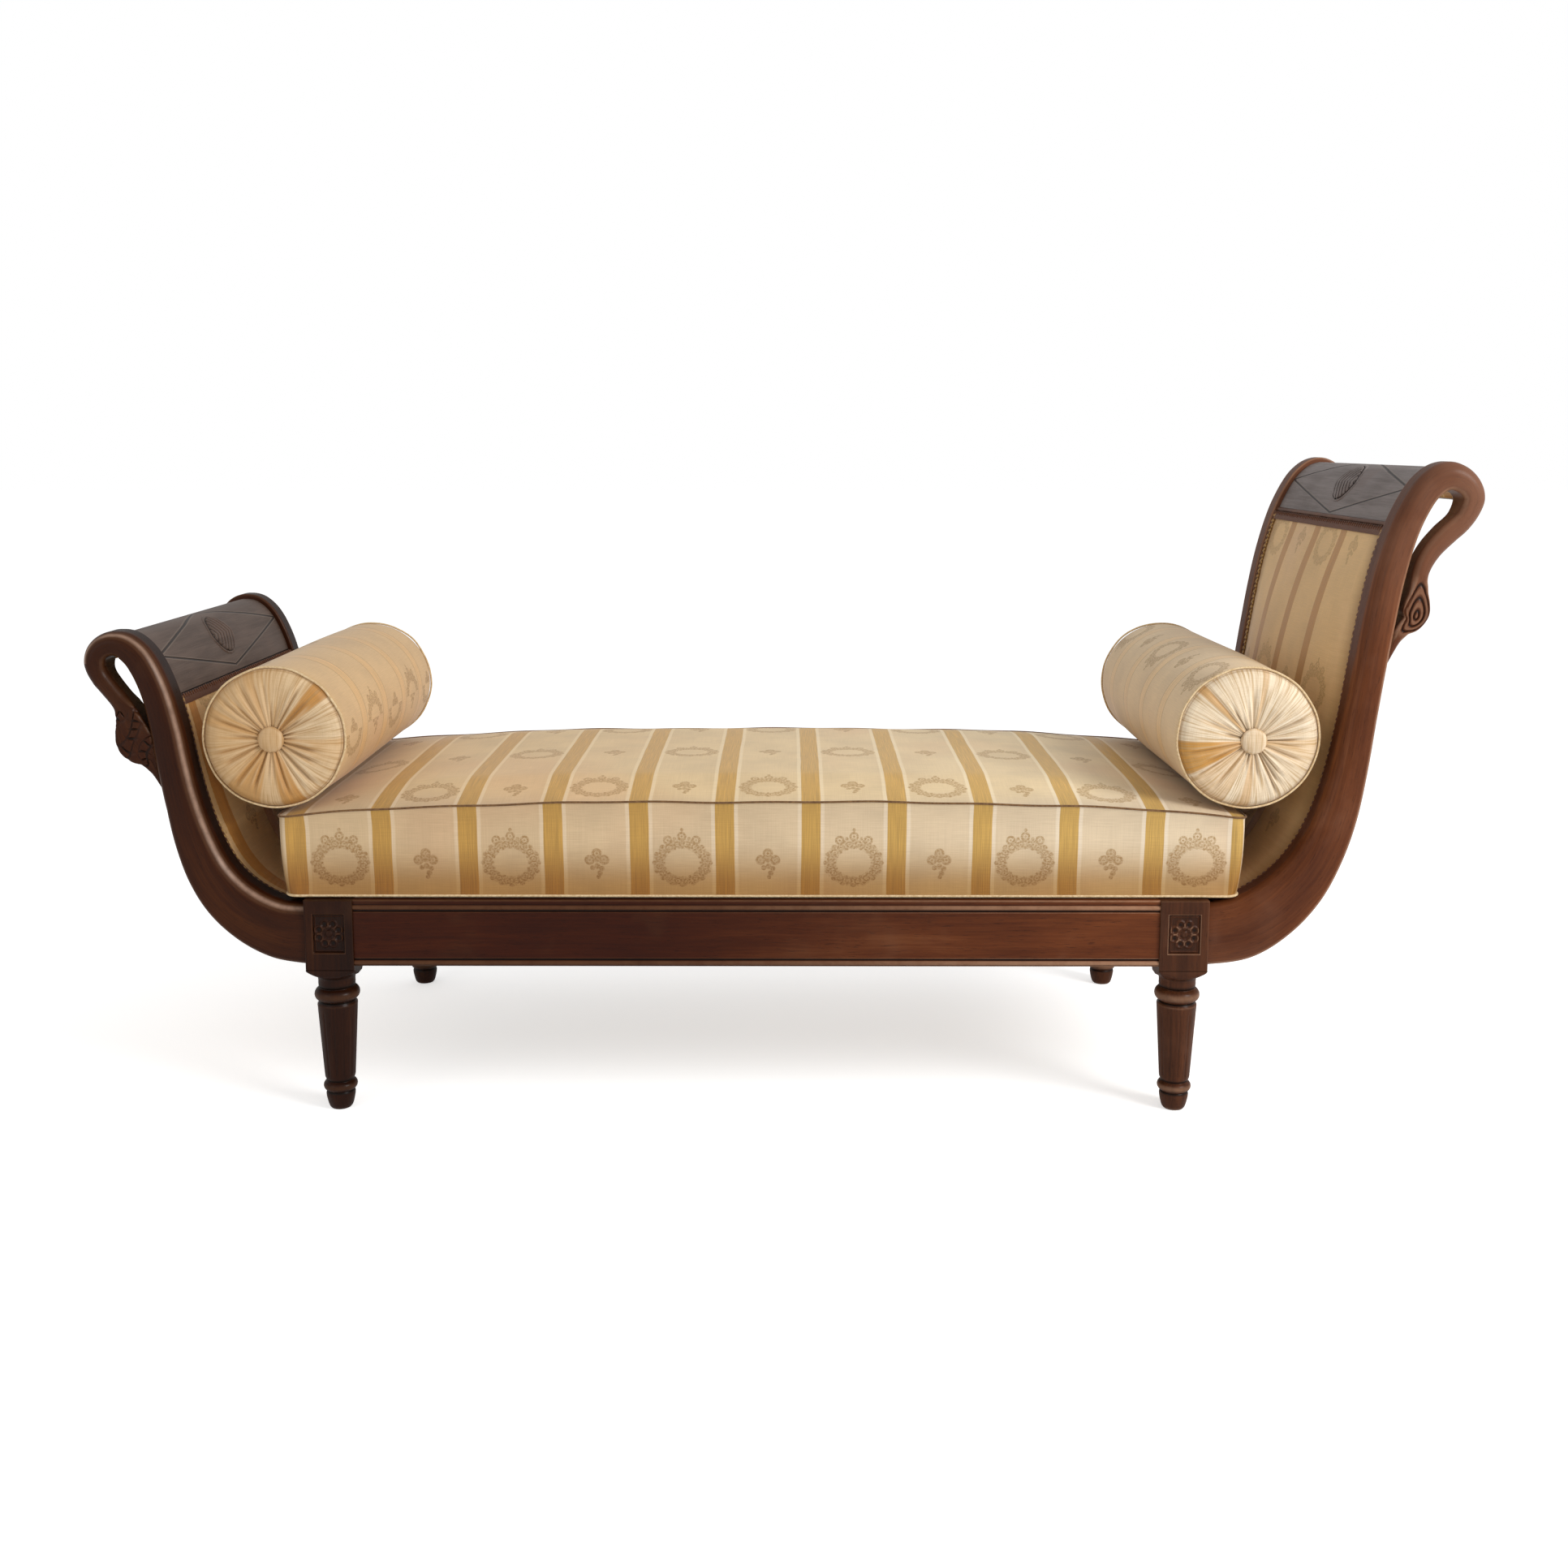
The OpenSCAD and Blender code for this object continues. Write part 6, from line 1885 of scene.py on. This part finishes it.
# %% A tube with gathered ends
def bolster(name, end, centre, seed):
    """A tube with two gathered ends. The seam rims are shared, so the piece is closed."""
    folds = {-1: fold_lines(seed), 1: fold_lines(seed + 1)}
    angles = np.arange(BOLSTER_ROUND) / BOLSTER_ROUND * 2 * math.pi
    off = np.array(GATHER_OFF[end])
    tube_rows = np.linspace(-bolster_half, bolster_half, TUBE_ROWS)
    rows = [("end", -1, share) for share in GATHER_ROWS] + [("tube", 0, y) for y in tube_rows]
    rows += [("end", 1, share) for share in GATHER_ROWS[::-1]]
    points, creases, gild, cloth = [], [], [], []
    for kind, side, value in rows:
        crease, gold = np.zeros(BOLSTER_ROUND), np.zeros(BOLSTER_ROUND)
        move = np.zeros(2)
        if kind == "tube":
            fullness = math.cos(math.pi * value / (2 * bolster_half))
            slack = 0.0009 * np.sin(3 * angles + 9 * value) * fullness
            drawn_in = 0.0018 * math.exp(-(bolster_half - abs(value)) / 0.008)
            radius = bolster_radius - 0.001 + tube_swell * fullness + slack - drawn_in
            y = np.full(BOLSTER_ROUND, value)
            cloth += [(value + bolster_half - BOLSTER_STRIPE_START, a * bolster_radius) for a in angles]
        else:
            viewed = angles if side < 0 else math.pi - angles
            crease, ridge = gathered(value, viewed, folds[side])
            gold = gold_wedges(viewed, GILDED[end]) * min(1.0, 0.5 + value)
            out = float(np.interp(value, *END_PROFILE)) * END_OUT
            puff = 0.0016 * np.sin(5 * viewed + seed) * value * (1 - value) * 4
            radius = np.full(BOLSTER_ROUND, value * (bolster_radius - 0.0026))
            y = side * (bolster_half + out + puff - CREASE_DEPTH * crease + RIDGE_HEIGHT * ridge)
            move = off * (1 - value)
            # For the finish, the crease is painted shade, the ridge beside it a painted highlight, and the
            # seam row a painted shadow line inside the rim cord.
            crease = crease - 0.6 * ridge + (0.75 if value == SEAM_ROW else 0.0)
            cloth += [(a * bolster_radius * TAKEN_UP, value * bolster_radius + 0.02) for a in viewed]
        points.append(np.stack([centre[0] + move[0] + radius * np.cos(angles), y,
                                centre[1] + move[1] + radius * np.sin(angles)], 1))
        creases.append(crease)
        gild.append(gold)
    points = np.concatenate(points)
    middle = [(centre[0] + off[0], side * (bolster_half + 0.003), centre[1] + off[1]) for side in (-1, 1)]
    count, last = len(rows), len(points)
    base = (count - 1) * BOLSTER_ROUND
    faces = lattice_faces(count, BOLSTER_ROUND)
    faces += [(last, (k + 1) % BOLSTER_ROUND, k) for k in range(BOLSTER_ROUND)]
    faces += [(last + 1, base + k, base + (k + 1) % BOLSTER_ROUND) for k in range(BOLSTER_ROUND)]
    piece = add_mesh(name, np.vstack([points, middle]), faces, tube_silk, 60)
    piece.data.materials.append(pleat_silk)
    keep(piece.data, crease=np.append(np.concatenate(creases), [0, 0]),
         gild=np.append(np.concatenate(gild), [0, 0]))
    first_tube, last_tube = len(GATHER_ROWS), len(GATHER_ROWS) + TUBE_ROWS - 1
    layer = piece.data.uv_layers.new(name="cloth")
    cloth += [(0.0, 0.02), (0.0, 0.02)]
    for polygon in piece.data.polygons:
        row = polygon.index // BOLSTER_ROUND
        on_end = not first_tube <= row < last_tube
        polygon.material_index = int(on_end)
        wraps = polygon.index % BOLSTER_ROUND == BOLSTER_ROUND - 1
        for loop, vertex in zip(polygon.loop_indices, polygon.vertices):
            across, along = cloth[vertex]
            if wraps and vertex % BOLSTER_ROUND == 0 and vertex < last:
                turn = 2 * math.pi * bolster_radius
                if on_end:
                    across += turn * TAKEN_UP * (1 if row < first_tube else -1)
                else:
                    along += turn
            layer.data[loop].uv = (across, along)
    return turn_outward(piece)


print("rows along a bolster:", 2 * len(GATHER_ROWS) + TUBE_ROWS)


# %% Buttons and rim cords
def button(name, centre, side):
    """A covered button: a low dome with a soft rim."""
    section = [(0.0, 0.0060), (0.35, 0.0057), (0.65, 0.0046), (0.86, 0.0028), (0.97, 0.0008),
               (1.0, -0.0012), (0.97, -0.0030), (0.80, -0.0042), (0.0, -0.0046)]
    steps = 48
    turns = np.arange(steps) / steps * 2 * math.pi
    pleats = 1 + 0.012 * np.sin(11 * turns + 2 * np.sin(3 * turns))
    points = [(centre[0] + reach * max(r, 0.004) * math.cos(t), side * (bolster_half + 0.0085 + h),
               centre[1] + reach * max(r, 0.004) * math.sin(t))
              for r, h in section for t, reach in zip(turns, button_radius * pleats)]
    cloth = [(p[0] - centre[0] + 0.030, p[2] - centre[1] + 0.105) for p in points]
    # The crease values paint a highlight on the dome's shoulder and shade round its edge and underneath.
    rim = [0.0, 0.0, -0.2, -0.4, 0.3, 0.8, 0.9, 0.9, 0.9]
    return closed_piece(name, points, capped_faces(len(section), steps), pleat_silk, 60, cloth,
                        crease=np.repeat(rim, steps), gild=np.full(len(points), 0.22))


def rim_cord(name, centre, y, radius, seed):
    """A thin cord round a rim, a little wavy, as hand sewing leaves it."""
    count = 260
    rng = np.random.default_rng(seed)
    angles = np.arange(count) / count * 2 * math.pi
    sway = sum(rng.uniform(0.2, 1.0) * np.sin(k * (angles + rng.uniform(0, 6.28))) for k in (3, 5, 8, 13))
    sway = sway * 0.00045
    reach = radius + sway * 0.8
    line = np.stack([centre[0] + reach * np.cos(angles), y + sway, centre[1] + reach * np.sin(angles)], 1)
    out = unit_rows((line - np.array([centre[0], 0, centre[1]])) * (1, 0, 1))
    return tube(name, line, out, np.cross(ahead_of(line), out), CORD_RADIUS, welt_cloth)


print(f"buttons {2 * button_radius:.3f} m across")

# %% The bolsters
for number, end in enumerate(ends):
    node = f"{end}_bolster"
    low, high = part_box(node)
    centre = ((low.x + high.x) / 2, (low.z + high.z) / 2)
    body = f"bolster_{end}"
    roll = bolster(node + "_silk", end, centre, 41 + 7 * number)
    place_piece(roll, body, "striped_silk", node)
    cords = [rim_cord(f"{node}_cord_{side}", centre, side * (bolster_half + 0.0022),
                      bolster_radius - 0.0012, 90 + side + 5 * number) for side in (-1, 1)]
    place_piece(join(node + "_cords", cords), body, "trim", node + "_piping")
    tied = (centre[0] + GATHER_OFF[end][0], centre[1] + GATHER_OFF[end][1])
    buttons = join(node + "_button_pair", [button(f"{node}_button_{side}", tied, side) for side in (-1, 1)])
    place_piece(buttons, body, "striped_silk", node + "_buttons")
    print(roll.name, len(roll.data.polygons), "faces")

# %% [markdown]
# The hidden structure already has its true shape in the construction, so those pieces only need
# their finishes. A finish on Object coordinates needs no map, which suits them.

# %% Finishes for the structure
def dress(finish, *nodes):
    for node in nodes:
        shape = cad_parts[node]
        if not shape.material_slots:
            shape.data.materials.append(finish)
        for place in shape.material_slots:
            place.material = finish


corners = [f"{row}_{end}" for row in ("front", "rear") for end in ends]
dress(beech_y, "bearer_foot", "bearer_middle", "bearer_head", "end_slats_foot", "end_slats_head")
dress(beech_x, "scroll_dowels", *["brace_" + corner for corner in corners])
dress(cross_wood, "end_rail_foot", "end_rail_head")
dress(screw_finish, "brace_screws")
dress(jute_cross, "webbing_cross")
dress(jute_long, "webbing_long")
dress(deck_cloth, "deck")
print("structure dressed")

# %% [markdown]
# The photograph is a cut-out on white, lit by soft daylight from the right. The world and the floor
# give a grey light but are white for the lens, so the ground is white and the shadows stay. One
# large soft lamp stands at the front right, and a weak one at the left keeps the legs round.

# %% Light and floor
def soft_lamp(name, place, aim, size, power):
    data = bpy.data.lights.new(name, "AREA")
    data.shape = "DISK"
    data.size = size
    data.energy = power
    lamp = put(name, data)
    lamp.location = place
    lamp.rotation_euler = (Vector(aim) - Vector(place)).to_track_quat("-Z", "Y").to_euler()
    return lamp


def seen_share(board):
    """1 for the lens, a half for what waxed wood mirrors, 0 for the light that falls on the couch."""
    rays = board.node("ShaderNodeLightPath")
    return board.largest(rays["Is Camera Ray"], rays["Is Glossy Ray"] * 0.5, rays["Is Transmission Ray"])


def white_world(strength):
    world = bpy.data.worlds.new("daylight")
    world.use_nodes = True
    board = Board(world.node_tree)
    light = world.node_tree.nodes["Background"]
    board.feed(light.inputs["Strength"], seen_share(board) * (1 - strength) + strength)
    light.inputs["Color"].default_value = (1, 1, 1, 1)
    bpy.context.scene.world = world
    return world


def white_floor(size, glow):
    material, board, shader = surface("white floor", Roughness=1.0, Specular_IOR_Level=0.0,
                                      Base_Color=(0.9, 0.9, 0.9, 1), Emission_Strength=1.0)
    glowing = board.blend(seen_share(board), (0, 0, 0, 1), (glow, glow, glow, 1))
    board.feed(shader.inputs["Emission Color"], glowing)
    corners = [(-size, -size, 0), (size, -size, 0), (size, size, 0), (-size, size, 0)]
    return add_mesh("floor", corners, [(0, 1, 2, 3)], material, 30)


soft_lamp("window", (3.0, -2.2, 2.5), (0.2, 0.0, 0.45), 1.8, 112)
soft_lamp("fill", (-2.6, -2.6, 1.2), (-0.2, 0.0, 0.4), 2.0, 11)
white_world(0.56)
white_floor(30.0, 0.55)
bpy.context.scene.view_settings.view_transform = "Standard"

# %% [markdown]
# The last cell counts the finished pieces.

# %% Count the finished pieces
print("pieces made:", len(finished))
